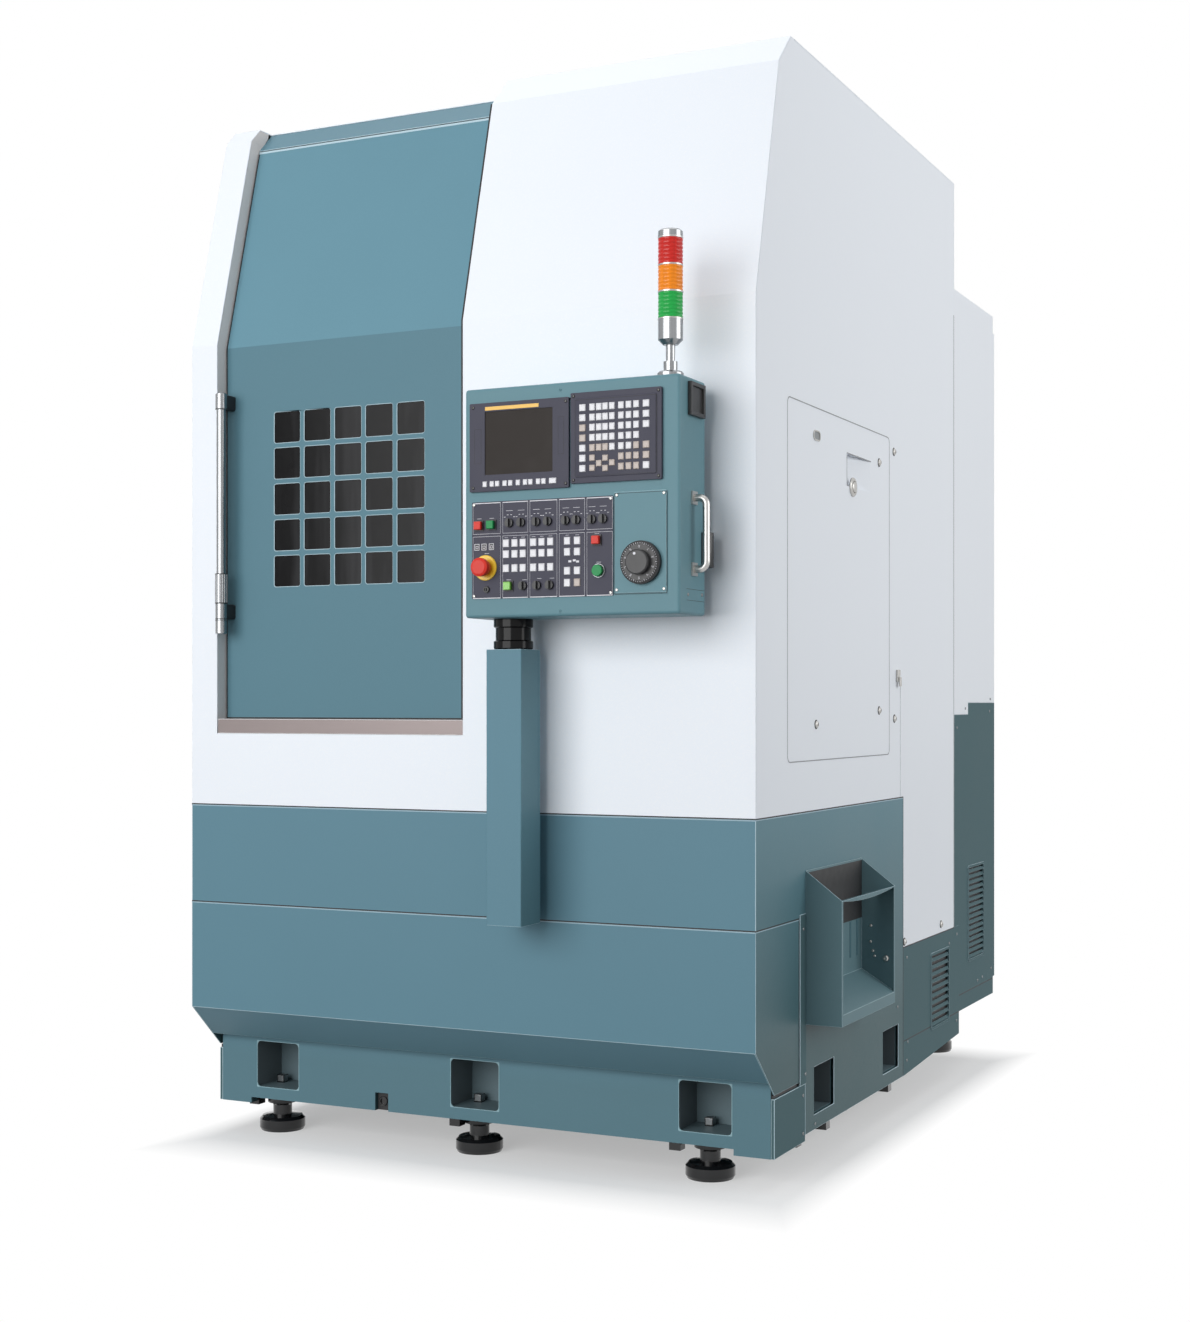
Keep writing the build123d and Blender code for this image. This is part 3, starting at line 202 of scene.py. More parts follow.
def powder_paint(name, colour, grain, depth, roughness, cloud=0.03, ior=1.3, painted_side_shade=False,
                 painted_slope_light=False):
    """Powder coated sheet: an orange peel of the given grain, with faint clouds in tone and gloss.

    With painted side shade, the paint is painted darker on the sheets at the sides, the more so towards the
    floor, and a little darker low on the front. With painted slope light, it is painted paler where the sheet
    leans back.
    """
    paint = Finish(name)
    peel = paint.noise(grain, 2.0, 0.5)
    clouds = paint.noise(3.0, 4.0)
    dust = paint.noise(60.0, 3.0)
    fleck = paint.noise(grain * 0.6, 2.0)
    colour_mix = paint.mixed(clouds, shade(colour, 1 - cloud), shade(colour, 1 + cloud))
    colour_mix = paint.mixed(paint.clamped((fleck - 0.5) * 2.5) * 0.5, colour_mix, shade(colour, 1.12))
    # Painted shade: darker on the sheets at the sides, the more so towards the floor, and darker low on the
    # front
    if painted_side_shade:
        height = paint.axis("Z")
        across = paint.math("ABSOLUTE", paint.square("X"))
        front = paint.mixed(paint.clamped((height - 0.22) * 8), (0.9, 0.86, 0.82, 1), (1, 1, 1, 1))
        side = paint.mixed(paint.clamped((height - 0.3) * 1.6), (0.4, 0.42, 0.37, 1), (1, 0.97, 0.92, 1))
        side_shade_tint = paint.mixed(paint.math("GREATER_THAN", across, 0.7), front, side)
        colour_mix = paint.tinted(colour_mix, side_shade_tint)
    # Painted light: paler where the face leans back towards the light from above, darker where it stands
    # upright
    if painted_slope_light:
        lying = paint.clamped(paint.square("Z") * 5)
        slope_light_tint = paint.mixed(lying, (0.86, 0.9, 0.89, 1), (1.17, 1.19, 1.18, 1))
        colour_mix = paint.tinted(colour_mix, slope_light_tint)
    shine = roughness + (clouds - 0.5) * 0.10 + (dust - 0.5) * 0.06
    return paint.done(paint.shader(Base_Color=colour_mix, Roughness=shine, IOR=ior,
                                   Normal=paint.bump(peel, depth)))


def brushed_metal(name, colour, roughness, stretch, wear=0.12, depth=0.00008):
    """Metal with fine lines; the stretch is small along the lines and large across them."""
    metal = Finish(name)
    lines = metal.noise(1.0, 4.0, 0.6, metal.stretched(stretch))
    clouds = metal.noise(9.0, 4.0)
    tint = metal.mixed(lines * 0.6 + clouds * 0.4, shade(colour, 1 - wear), shade(colour, 1 + wear))
    return metal.done(metal.shader(Base_Color=tint, Metallic=1.0,
                                   Roughness=roughness + (lines - 0.5) * 0.18 + (clouds - 0.5) * 0.12,
                                   Normal=metal.bump(lines, depth)))


def moulded_plastic(name, colour, roughness, grain=900.0, depth=0.00006, coat=0.0, ior=1.5):
    """Moulded plastic with an even fine grain and faint handling marks."""
    plastic = Finish(name)
    pores = plastic.noise(grain, 2.0)
    marks = plastic.noise(35.0, 4.0)
    tint = plastic.mixed(marks, shade(colour, 0.94), shade(colour, 1.07))
    return plastic.done(plastic.shader(Base_Color=tint, Roughness=roughness + (marks - 0.5) * 0.14,
                                       Coat_Weight=coat, Coat_Roughness=0.08, IOR=ior,
                                       Normal=plastic.bump(pores, depth)))


def turned_metal(name, colour, roughness, centre, pitch=0.0012):
    """Machined face with rings round a vertical axis."""
    metal = Finish(name)
    across = metal.axis("X") - centre[0]
    along = metal.axis("Y") - centre[1]
    radius = metal.math("SQRT", across * across + along * along)
    rings = metal.math("SINE", radius * (2 * math.pi / pitch)) * 0.5 + 0.5
    streaks = metal.noise(40.0, 4.0)
    tint = metal.mixed(streaks, shade(colour, 0.88), shade(colour, 1.1))
    return metal.done(metal.shader(Base_Color=tint, Metallic=1.0,
                                   Roughness=roughness + rings * 0.06 + (streaks - 0.5) * 0.12,
                                   Normal=metal.bump(rings, 0.00004)))


def casting_paint(name, colour):
    """Painted casting with a coarse skin."""
    skin = Finish(name)
    coarse = skin.noise(55.0, 5.0, 0.6)
    tint = skin.mixed(skin.noise(6.0), shade(colour, 0.9), shade(colour, 1.1))
    return skin.done(skin.shader(Base_Color=tint, Roughness=0.5 + (coarse - 0.5) * 0.2,
                                 Normal=skin.bump(coarse, 0.0008)))


def lens(name, colour, painted_glow):
    """Coloured lens: its tone is painted darker between its ribs and lighter on them, with a faint painted
    glow from inside.
    """
    plastic = Finish(name)
    streaks = plastic.noise(1.0, 2.0, 0.5, plastic.stretched((260.0, 260.0, 6.0)))
    tint = plastic.mixed(streaks, shade(colour, 0.72), shade(colour, 1.2))
    return plastic.done(plastic.shader(Base_Color=tint, Roughness=0.22 + (streaks - 0.5) * 0.1, IOR=1.3,
                                       Emission_Color=tint, Emission_Strength=painted_glow, Coat_Weight=0.15,
                                       Coat_Roughness=0.05, Normal=plastic.bump(streaks, 0.0003)))


def dark_glass(name, colour, pale, roughness, stretch):
    """Tinted pane with pale upright streaks of painted reflection, and faint smears."""
    pane = Finish(name)
    smears = pane.noise(30.0, 4.0)
    streaks = pane.ramp(pane.noise(1.0, 3.0, 0.6, pane.stretched(stretch)), (0.48, 0.0), (0.8, 1.0))
    tint = pane.mixed(streaks, colour, pale)
    return pane.done(pane.shader(Base_Color=tint, Roughness=roughness + (smears - 0.5) * 0.1, IOR=1.2))


white = tone(243, 248, 255)
teal = tone(97, 136, 151)
# Painted shade: a darker copy of the teal for the corner covers, rear skirts and rear cabinet base
shaded_side_teal = tone(81, 107, 112)
pendant_teal = tone(100, 139, 149)

finishes = {
    "white_paint": powder_paint("white_paint", white, 420.0, 0.00004, 0.36, 0.012),
    "teal_paint": powder_paint("teal_paint", teal, 520.0, 0.00016, 0.46, 0.03, painted_side_shade=True),
    "door_paint": powder_paint("door_paint", teal, 520.0, 0.00016, 0.46, 0.03, painted_slope_light=True),
    # Painted light: the chute's teal is lighter than the side teal, to brighten its shaded inside
    "lightened_chute_paint": powder_paint("lightened_chute_paint", tone(98, 127, 134), 520.0, 0.00016, 0.5, 0.05),
    "shaded_side_paint": powder_paint("shaded_side_paint", shaded_side_teal, 520.0, 0.00016, 0.55, 0.05, 1.15),
    "pendant_paint": powder_paint("pendant_paint", pendant_teal, 620.0, 0.00020, 0.42, 0.03),
    "grey_trim": powder_paint("grey_trim", tone(236, 229, 226), 480.0, 0.00006, 0.4, 0.03),
    "sill_steel": brushed_metal("sill_steel", tone(118, 110, 109), 0.42, (5.0, 500.0, 700.0), 0.16),
    "cast_grey": casting_paint("cast_grey", tone(122, 138, 142)),
    "machined_steel": brushed_metal("machined_steel", tone(196, 196, 196), 0.34, (420.0, 420.0, 8.0)),
    "chuck_steel": turned_metal("chuck_steel", tone(186, 186, 188), 0.3, at(-300, 560, 0)),
    "hard_steel": brushed_metal("hard_steel", tone(150, 150, 154), 0.36, (300.0, 300.0, 300.0)),
    "lining": brushed_metal("lining", tone(186, 188, 188), 0.44, (8.0, 8.0, 420.0)),
    "black_steel": moulded_plastic("black_steel", tone(18, 18, 20), 0.22, 260.0, 0.00006, 0.8, 1.3),
    "neck_black": moulded_plastic("neck_black", tone(10, 10, 12), 0.2, 260.0, 0.00003, 0.25, 1.12),
    "chrome": brushed_metal("chrome", tone(146, 148, 150), 0.2, (170.0, 170.0, 1.5), 0.4,
                            depth=0.00001),
    "silver": brushed_metal("silver", tone(178, 177, 174), 0.3, (700.0, 700.0, 20.0), 0.07),
    "black_plastic": moulded_plastic("black_plastic", tone(30, 30, 32), 0.42),
    "panel_grey": moulded_plastic("panel_grey", tone(62, 62, 76), 0.5, 1100.0, 0.00008, ior=1.33),
    "key_plastic": moulded_plastic("key_plastic", tone(232, 232, 236), 0.42),
    "beige_key": moulded_plastic("beige_key", tone(196, 184, 176), 0.45),
    "window_glass": dark_glass("window_glass", tone(10, 10, 12), tone(52, 52, 54), 0.16, (11.0, 11.0, 1.2)),
    "screen_glass": dark_glass("screen_glass", tone(46, 41, 38), tone(58, 54, 51), 0.4, (4.0, 4.0, 4.0)),
    "lens_green": lens("lens_green", tone(24, 164, 70), 0.10),
    "lens_amber": lens("lens_amber", tone(238, 134, 16), 0.12),
    "lens_red": lens("lens_red", tone(200, 34, 26), 0.10),
    "signal_red": moulded_plastic("signal_red", tone(216, 54, 42), 0.34, 500.0, 0.00004, 0.1, 1.25),
    "signal_green": moulded_plastic("signal_green", tone(24, 140, 76), 0.34, 500.0, 0.00004, 0.1, 1.25),
    "signal_yellow": moulded_plastic("signal_yellow", tone(238, 196, 42), 0.38, 500.0, 0.00004, 0.2),
    "strip_yellow": moulded_plastic("strip_yellow", tone(240, 190, 84), 0.4, 500.0, 0.00003),
    "print_white": moulded_plastic("print_white", tone(224, 224, 230), 0.5, 600.0, 0.00002),
    "dull_steel": brushed_metal("dull_steel", tone(128, 132, 134), 0.4, (200.0, 200.0, 200.0), 0.1),
    "dark_gap": moulded_plastic("dark_gap", tone(26, 27, 29), 0.6),
    "lit_green": moulded_plastic("lit_green", tone(120, 190, 70), 0.34, 500.0, 0.00004, 0.3),
    # Pale copies of the paints: painted highlights for rounded edges, rims and crests
    "teal_painted_highlight": powder_paint("teal_painted_highlight", tone(190, 214, 223), 520.0, 0.00008, 0.3, 0.05),
    "pendant_painted_highlight": powder_paint("pendant_painted_highlight", tone(150, 184, 192), 520.0, 0.00008, 0.3, 0.05),
    "steel_painted_highlight": powder_paint("steel_painted_highlight", tone(232, 230, 230), 520.0, 0.00004, 0.3, 0.05),
    "shaded_teal": powder_paint("shaded_teal", tone(98, 116, 122), 300.0, 0.00016, 0.5, 0.1),
    "shaded_wall_teal": powder_paint("shaded_wall_teal", tone(104, 114, 118), 300.0, 0.00016, 0.55, 0.1),
    "blue_painted_highlight": powder_paint("blue_painted_highlight", tone(158, 186, 198), 520.0, 0.00008, 0.35, 0.05),
    "seam_grey": powder_paint("seam_grey", tone(150, 152, 156), 300.0, 0.00004, 0.5, 0.05),
}

dressed = {
    "teal_paint": ("base_casting", "front_apron", "waist_band", "door_header", "pendant_post"),
    "door_paint": ("door_panel",),
    "lightened_chute_paint": ("chip_chute",),
    "shaded_side_paint": ("corner_covers", "rear_skirts", "rear_cabinet_base"),
    "pendant_paint": ("pendant_case", "wheel_plate"),
    "white_paint": ("front_panel", "right_side_panel", "left_side_panel", "roof_panel", "back_panel",
                    "access_cover", "rear_cabinet"),
    "grey_trim": ("door_frame",),
    "sill_steel": ("door_sill",),
    "cast_grey": ("column", "headstock", "saddle"),
    "machined_steel": ("cross_rails", "spindle", "ram"),
    "chuck_steel": ("chuck", "turret"),
    "hard_steel": ("jaw_1", "jaw_2", "jaw_3", "tool_holders"),
    "lining": ("work_chamber",),
    "black_steel": ("floor_fixings", "foot_pads"),
    "neck_black": ("pendant_neck",),
    "chrome": ("door_handle", "lamp_pole"),
    "silver": ("side_grip",),
    "black_plastic": ("handle_brackets", "side_fittings", "handwheel", "selector_knobs"),
    "panel_grey": ("screen_unit", "key_unit", "operator_plate"),
    "key_plastic": ("key_caps",),
    "window_glass": ("door_glass",),
    "screen_glass": ("screen_glass",),
    "lens_green": ("lamp_green",),
    "lens_amber": ("lamp_amber",),
    "lens_red": ("lamp_red",),
    "signal_red": ("estop_button", "power_off_button", "stop_button"),
    "signal_green": ("power_on_button", "start_button"),
    "lit_green": ("light_button",),
    "signal_yellow": ("estop_ring",),
}
for finish, names in dressed.items():
    for name in names:
        slots = nodes[name].data.materials
        slots.clear()
        slots.append(finishes[finish])


# Meshes

def new_piece(name, mesh, finish, body):
    """Turns a mesh under construction into a piece that rides on a body."""
    bmesh.ops.recalc_face_normals(mesh, faces=mesh.faces)
    data = bpy.data.meshes.new(name)
    mesh.to_mesh(data)
    mesh.free()
    data.materials.append(finishes[finish])
    piece = bpy.data.objects.new(name, data)
    bpy.context.scene.collection.objects.link(piece)
    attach(piece, body)
    return piece


def smoothed(piece, angle=35):
    """Round faces shade as round, and edges sharper than the angle stay crisp."""
    data = piece.data
    data.polygons.foreach_set("use_smooth", [True] * len(data.polygons))
    data.set_sharp_from_angle(angle=math.radians(angle))
    return piece


def add_slab(mesh, x, y, z, edge=0.0):
    """A box between the limits given along each axis, its edges rounded by a radius."""
    low, high = at(x[0], y[0], z[0]), at(x[1], y[1], z[1])
    size = high - low
    place = Matrix.Translation((low + high) / 2) @ Matrix.Diagonal((*size, 1))
    made = bmesh.ops.create_cube(mesh, size=1, matrix=place)
    if edge:
        edges = {e for v in made["verts"] for e in v.link_edges}
        bmesh.ops.bevel(mesh, geom=list(edges), offset=edge / 1000, segments=2, profile=0.5,
                        affect="EDGES", clamp_overlap=True)


def join_rings(mesh, first, second):
    """Faces between two rings with as many points."""
    for i in range(len(first)):
        j = (i + 1) % len(first)
        mesh.faces.new((first[i], first[j], second[j], second[i]))


def facing(axis):
    """The turn that carries +Z to the named direction."""
    return {"x": Matrix.Rotation(math.pi / 2, 4, "Y"), "-x": Matrix.Rotation(-math.pi / 2, 4, "Y"),
            "y": Matrix.Rotation(-math.pi / 2, 4, "X"), "-y": Matrix.Rotation(math.pi / 2, 4, "X"),
            "z": Matrix.Identity(4), "-z": Matrix.Rotation(math.pi, 4, "X")}[axis]


def add_turned(mesh, place, axis, profile, sides=28):
    """A turned form: (radius, height) points in millimetres, from its foot along the named axis."""
    stand = Matrix.Translation(at(*place)) @ facing(axis)
    rings = []
    for radius, height in profile:
        if radius == 0:
            rings.append([mesh.verts.new(stand @ Vector((0, 0, height / 1000)))])
            continue
        ring = []
        for i in range(sides):
            turn = 2 * math.pi * i / sides
            spot = Vector((radius * math.cos(turn), radius * math.sin(turn), height)) / 1000
            ring.append(mesh.verts.new(stand @ spot))
        rings.append(ring)
    for lower, upper in zip(rings, rings[1:]):
        if len(upper) > 1:
            join_rings(mesh, lower, upper)
            continue
        for i in range(sides):
            mesh.faces.new((lower[i], lower[(i + 1) % sides], upper[0]))
    mesh.faces.new(rings[0][::-1])
    if len(rings[-1]) > 1:
        mesh.faces.new(rings[-1])


def screw_profile(radius, height):
    """A domed head with a round socket in it."""
    socket = radius * 0.45
    return [(radius, 0), (radius, height * 0.45), (radius * 0.85, height * 0.82), (radius * 0.6, height),
            (socket, height), (socket * 0.9, height * 0.35), (0, height * 0.35)]


def screws(name, places, axis, radius, height, finish, body):
    mesh = bmesh.new()
    for place in places:
        add_turned(mesh, place, axis, screw_profile(radius, height), 20)
    return smoothed(new_piece(name, mesh, finish, body), 40)


def edge_rounding(piece, width, highlight_finish, tight):
    """Gives a solid the small round that folded sheet has; a highlight finish, when given, is a painted
    highlight on that round.

    Tight rounds shrink where a shape is small.
    """
    weld = piece.modifiers.new("weld", "WELD")
    weld.merge_threshold = 0.00001
    plane = piece.modifiers.new("plane", "DECIMATE")
    plane.decimate_type = "DISSOLVE"
    plane.angle_limit = math.radians(0.5)
    bevel = piece.modifiers.new("edge", "BEVEL")
    bevel.width = width / 1000
    bevel.segments = 2
    bevel.limit_method = "ANGLE"
    bevel.angle_limit = math.radians(28)
    bevel.harden_normals = True
    bevel.use_clamp_overlap = tight
    if highlight_finish:
        piece.data.materials.append(finishes[highlight_finish])
        bevel.material = 1


def add_prism(mesh, outline, low, high):
    """An outline of (y, z) points in the machine's measure, carried along X between two limits."""
    near = [mesh.verts.new(at(low, y, z)) for y, z in outline]
    far = [mesh.verts.new(at(high, y, z)) for y, z in outline]
    mesh.faces.new(near)
    mesh.faces.new(far[::-1])
    for i in range(len(outline)):
        j = (i + 1) % len(outline)
        mesh.faces.new((near[i], far[i], far[j], near[j]))


def corner_arcs(across, up, radius):
    """The points of a rounded rectangle, from its limits in two directions."""
    points = []
    for start, u, v in ((0, across[1] - radius, up[1] - radius), (90, across[0] + radius, up[1] - radius),
                        (180, across[0] + radius, up[0] + radius), (270, across[1] - radius, up[0] + radius)):
        for step in range(7):
            turn = math.radians(start + 15 * step)
            points.append((u + radius * math.cos(turn), v + radius * math.sin(turn)))
    return points


def add_frame(mesh, plane, across, up, radii, width, low, high):
    """A rounded frame in the front plane ("y") or the side plane ("x"), between two depths."""
    outer = corner_arcs(across, up, radii[0])
    inner = corner_arcs((across[0] + width, across[1] - width), (up[0] + width, up[1] - width), radii[1])
    rings = []
    for points, depth in ((outer, low), (outer, high), (inner, high), (inner, low)):
        if plane == "y":
            rings.append([mesh.verts.new(at(u, depth, v)) for u, v in points])
        else:
            rings.append([mesh.verts.new(at(depth, u, v)) for u, v in points])
    for first, second in zip(rings, rings[1:] + rings[:1]):
        join_rings(mesh, first, second)


# Key caps: pale caps with a dished top, darker ones among them

pale_keys = bmesh.new()
beige_keys = bmesh.new()


def add_key(mesh, x, z, width, height, front, rise=3.2):
    """A key cap that narrows towards the operator, with a shallow dish in its top."""
    half_w, half_h = width / 2, height / 2
    taper, dish = 1.3, 0.6
    levels = ((0, 0), (0, rise * 0.4), (taper * 0.6, rise * 0.88), (taper, rise), (taper * 2.6, rise - dish))
    rings = []
    for inset, up in levels:
        w, h = half_w - inset, half_h - inset
        corners = ((-w, -h), (w, -h), (w, h), (-w, h))
        rings.append([mesh.verts.new(at(x + across, front - up, z + along)) for across, along in corners])
    for lower, upper in zip(rings, rings[1:]):
        join_rings(mesh, lower, upper)
    mesh.faces.new(rings[0][::-1])
    mesh.faces.new(rings[-1])


# The key unit's field: seven rows, with a letter block, a number block and an edge column on each side
key_left, key_top, key_pitch = 451, 1942, 24.5
raised_front = front_of_units - 2
row_heights = [key_top - key_pitch * i for i in range(7)]
for row, z in enumerate(row_heights):
    columns = [60, 78, 95, 113] if row < 5 else []
    for offset in columns + [137, 157, 177]:
        beige = (row == 4 and offset in (60, 78, 95, 177)) or (row > 4 and offset >= 137)
        add_key(beige_keys if beige else pale_keys, key_left + offset, z, 15, 17, raised_front)
    for offset in (34, 203):
        if row != 3 or offset == 34:
            beige = (offset == 34 and row in (2, 3)) or (offset == 203 and row in (4, 5))
            add_key(beige_keys if beige else pale_keys, key_left + offset, z, 17, 17, raised_front)
for offset, row, drop in ((60, 5, 0), (60, 6, 0), (95, 5, -2), (95, 6, -2), (78, 5, -14), (113, 5, -14)):
    add_key(beige_keys, key_left + offset, row_heights[row] + drop, 15, 15, raised_front)
for x in (214, 234, 249, 270, 286, 307, 327, 342, 363, 378):
    add_key(pale_keys, x, 1770, 12, 14, front_of_units)
add_key(pale_keys, 403, 1770, 20, 14, front_of_units)
for z in (1622, 1595, 1560):
    for x in (271, 295, 318, 347, 370, 394):
        add_key(pale_keys, x, z, 17, 19, front_of_plates)
for z in (1622, 1595, 1549, 1520):
    for x in (440, 467):
        add_key(beige_keys if (x, z) == (467, 1520) else pale_keys, x, z, 17, 19, front_of_plates)
pale = new_piece("pale_key_caps", pale_keys, "key_plastic", "pendant")
beige = new_piece("beige_key_caps", beige_keys, "beige_key", "pendant")
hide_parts("key_caps")

# Pendant trim
strip = bmesh.new()
add_slab(strip, (214, 364), (front_of_units - 0.6, front_of_units), (1953, 1962), 0.2)
new_piece("screen_strip", strip, "strip_yellow", "pendant")

unit_corners = ((180, 1962), (438, 1962), (180, 1762), (438, 1762), (459, 1972), (685, 1972), (459, 1768),
                (685, 1768))
plate_corners = ((180, 1720), (557, 1720), (180, 1493), (557, 1493), (573, 1727), (697, 1727), (573, 1499),
                 (697, 1499))
screws("unit_screws", [(x, front_of_units, z) for x, z in unit_corners], "-y", 4, 2.4, "black_steel",
       "pendant")
screws("plate_screws", [(x, front_of_plates, z) for x, z in plate_corners], "-y", 4, 2.4, "silver", "pendant")
screws("case_screws", [(419, front_of_case, 1992), (419, front_of_case, 1452)], "-y", 3.5, 2, "pendant_paint",
       "pendant")

# The operator plate's buttons, each with a short print above it
power_off_place, power_on_place = (195, 1668), (230, 1669)
stop_place, start_place, light_place = (520, 1621), (525, 1547), (278, 1516)

# Prints on the operator plate: frames round its fields, scales over the selectors, lamp symbols
prints = bmesh.new()
print_front = front_of_plates - 0.25


def add_outline(mesh, x, z, front, back, width, cap=None):
    """A rectangular outline in a plane that faces the operator."""
    cap = cap or width
    add_slab(mesh, x, (front, back), (z[1] - cap, z[1]))
    add_slab(mesh, x, (front, back), (z[0], z[0] + cap))
    for left in (x[0], x[1] - width):
        add_slab(mesh, (left, left + width), (front, back), (z[0] + cap, z[1] - cap))


fields = ((177, 255), (261, 331.5), (337, 412), (418, 487), (493, 562))
for field in fields:
    add_outline(prints, field, (1647, 1724), print_front, front_of_plates, 0.5, 0.7)
    add_outline(prints, field, (1487, 1641), print_front, front_of_plates, 0.5, 0.7)
    add_slab(prints, field, (print_front - 0.1, front_of_plates), (1722.6, 1724.6))
    add_slab(prints, field, (print_front - 0.1, front_of_plates), (1486.4, 1488.4))

upper_selectors = (280, 313, 355, 387, 436, 465, 507, 537)
selector_height = 1672
for x in upper_selectors:
    for turn in (-50, -17, 17, 50):
        way = math.radians(turn)
        middle = (x + 17 * math.sin(way), selector_height + 4 + 17 * math.cos(way))
        add_slab(prints, (middle[0] - 2.2, middle[0] + 2.2), (print_front, front_of_plates),
                 (middle[1] - 0.6, middle[1] + 0.6))
    add_slab(prints, (x - 9, x + 9), (print_front, front_of_plates),
             (selector_height + 30, selector_height + 30.8))
for x in (189, 209, 230):
    add_outline(prints, (x - 7, x + 7), (1607, 1623), print_front - 1.4, front_of_plates - 1.0, 1.2)
    add_outline(prints, (x - 3.5, x + 3.5), (1611, 1618), print_front - 1.4, front_of_plates - 1.0, 1.0)
for x, z in ((power_off_place[0], 1685), (power_on_place[0], 1685), (light_place[0], 1531),
             (stop_place[0], 1636), (start_place[0], 1567), (323, 1530), (363, 1532), (398, 1532),
             (216, 1598)):
    add_slab(prints, (x - 6, x + 6), (print_front, front_of_plates), (z, z + 0.9))
for x in (271, 295, 318, 347, 370, 394, 440, 467):
    add_slab(prints, (x - 5, x + 5), (print_front, front_of_plates), (1635.4, 1636.2))
for x, z in ((447, 1572), (459, 1574), (468, 1571)):
    add_slab(prints, (x - 4, x + 4), (print_front, front_of_plates), (z - 2.5, z + 2.5))
new_piece("plate_prints", prints, "print_white", "pendant")

# Dark frames behind the push buttons, the lamp keys and the round key lock
frames = bmesh.new()
for x, z in (power_off_place, power_on_place, stop_place, light_place):
    add_outline(frames, (x - 13, x + 13), (z - 13, z + 13), front_of_plates - 3, front_of_plates, 2.2)
for x in (189, 209, 230):
    add_slab(frames, (x - 7.5, x + 7.5), (front_of_plates - 1.2, front_of_plates), (1606.5, 1623.5), 0.8)
add_turned(frames, (216, front_of_plates, 1509), "-y",
           [(8.5, 0), (8.5, 4), (7.5, 5), (4.6, 5), (4.4, 2.6), (0, 2.6)], 28)
add_slab(frames, (215.2, 216.8), (front_of_plates - 5.2, front_of_plates - 2.6), (1505, 1513))
new_piece("button_frames", frames, "black_plastic", "pendant")
ring = bmesh.new()
add_turned(ring, (start_place[0], front_of_plates, start_place[1]), "-y",
           [(17.5, 0), (17.5, 3.2), (16.8, 4), (15.2, 4), (15, 0)], 40)
smoothed(new_piece("start_ring", ring, "dull_steel", "pendant"))

# Shallow grooves: on the screen unit's margins, round the key field, round the wheel plate
grooves = bmesh.new()
for x, z in (((184, 203), (1822, 1908)), ((417, 433), (1834, 1925))):
    add_outline(grooves, x, z, front_of_units - 0.15, front_of_units, 0.7)
add_outline(grooves, (464, 681), (1776, 1962), front_of_units - 2.2, front_of_units - 2, 0.8)
add_outline(grooves, (566.5, 704.5), (1488.5, 1731.5), front_of_plates - 0.15, front_of_plates, 1.0)
new_piece("face_grooves", grooves, "dark_gap", "pendant")

# Handwheel: graduation marks, figures and a white spot on its dial
wheel_x, wheel_z = 639, 1563
marks = bmesh.new()
wheel_face = front_of_plates - 16.3


def add_stroke(mesh, corners, rise):
    """A flat stroke on the dial's face, from four corners round the dial's middle."""
    lower = [mesh.verts.new(at(wheel_x + c.x, wheel_face, wheel_z + c.y)) for c in corners]
    upper = [mesh.verts.new(at(wheel_x + c.x, wheel_face - rise, wheel_z + c.y)) for c in corners]
    mesh.faces.new(upper)
    join_rings(mesh, lower, upper)


for i in range(50):
    turn = 2 * math.pi * i / 50
    long = 4.5 if i % 5 == 0 else 2.5
    inner, outer = 47.5 - long, 47.5
    side = Vector((math.cos(turn), math.sin(turn)))
    across = Vector((-side.y, side.x)) * 0.5
    add_stroke(marks, [side * inner - across, side * outer - across, side * outer + across,
                       side * inner + across], 0.3)
add_turned(marks, (wheel_x - 5, wheel_face - 16, wheel_z + 20), "-y", [(3.4, 0), (3.4, 0.4), (0, 0.5)], 16)

segments = {"a": ((0, 2), (1, 2)), "b": ((1, 1), (1, 2)), "c": ((1, 0), (1, 1)), "d": ((0, 0), (1, 0)),
            "e": ((0, 0), (0, 1)), "f": ((0, 1), (0, 2)), "g": ((0, 1), (1, 1))}
digits = ("abcdef", "bc", "abged", "abgcd", "fgbc", "afgcd", "afgcde", "abc", "abcdefg", "abcdfg")


def add_digit(mesh, digit, centre, turn):
    """One figure of the dial, in strokes, upright at its place round the wheel."""
    up = Vector((math.cos(turn), math.sin(turn)))
    across = Vector((up.y, -up.x))
    for part in digits[digit]:
        ends = []
        for column, row in segments[part]:
            ends.append(centre + across * (column - 0.5) * 3.0 + up * (row - 1) * 2.4)
        along = (ends[1] - ends[0]).normalized()
        side = Vector((-along.y, along.x)) * 0.45
        start, end = ends[0] - along * 0.45, ends[1] + along * 0.45
        add_stroke(mesh, [start - side, end - side, end + side, start + side], 0.25)


for count in range(10):
    turn = math.pi / 2 - 2 * math.pi * count / 10
    add_digit(marks, count, Vector((math.cos(turn), math.sin(turn))) * 37.5, turn)
new_piece("wheel_marks", marks, "print_white", "handwheel")

# Fittings on the right side
side_screws = [(right_side, y, z) for y, z in ((994, 1925), (994, 1205), (443, 1170), (1139, 1973),
                                               (1144, 1180), (1651, 516), (1247, 505))]
screws("side_screws", side_screws, "x", 9.5, 6, "silver", "machine")
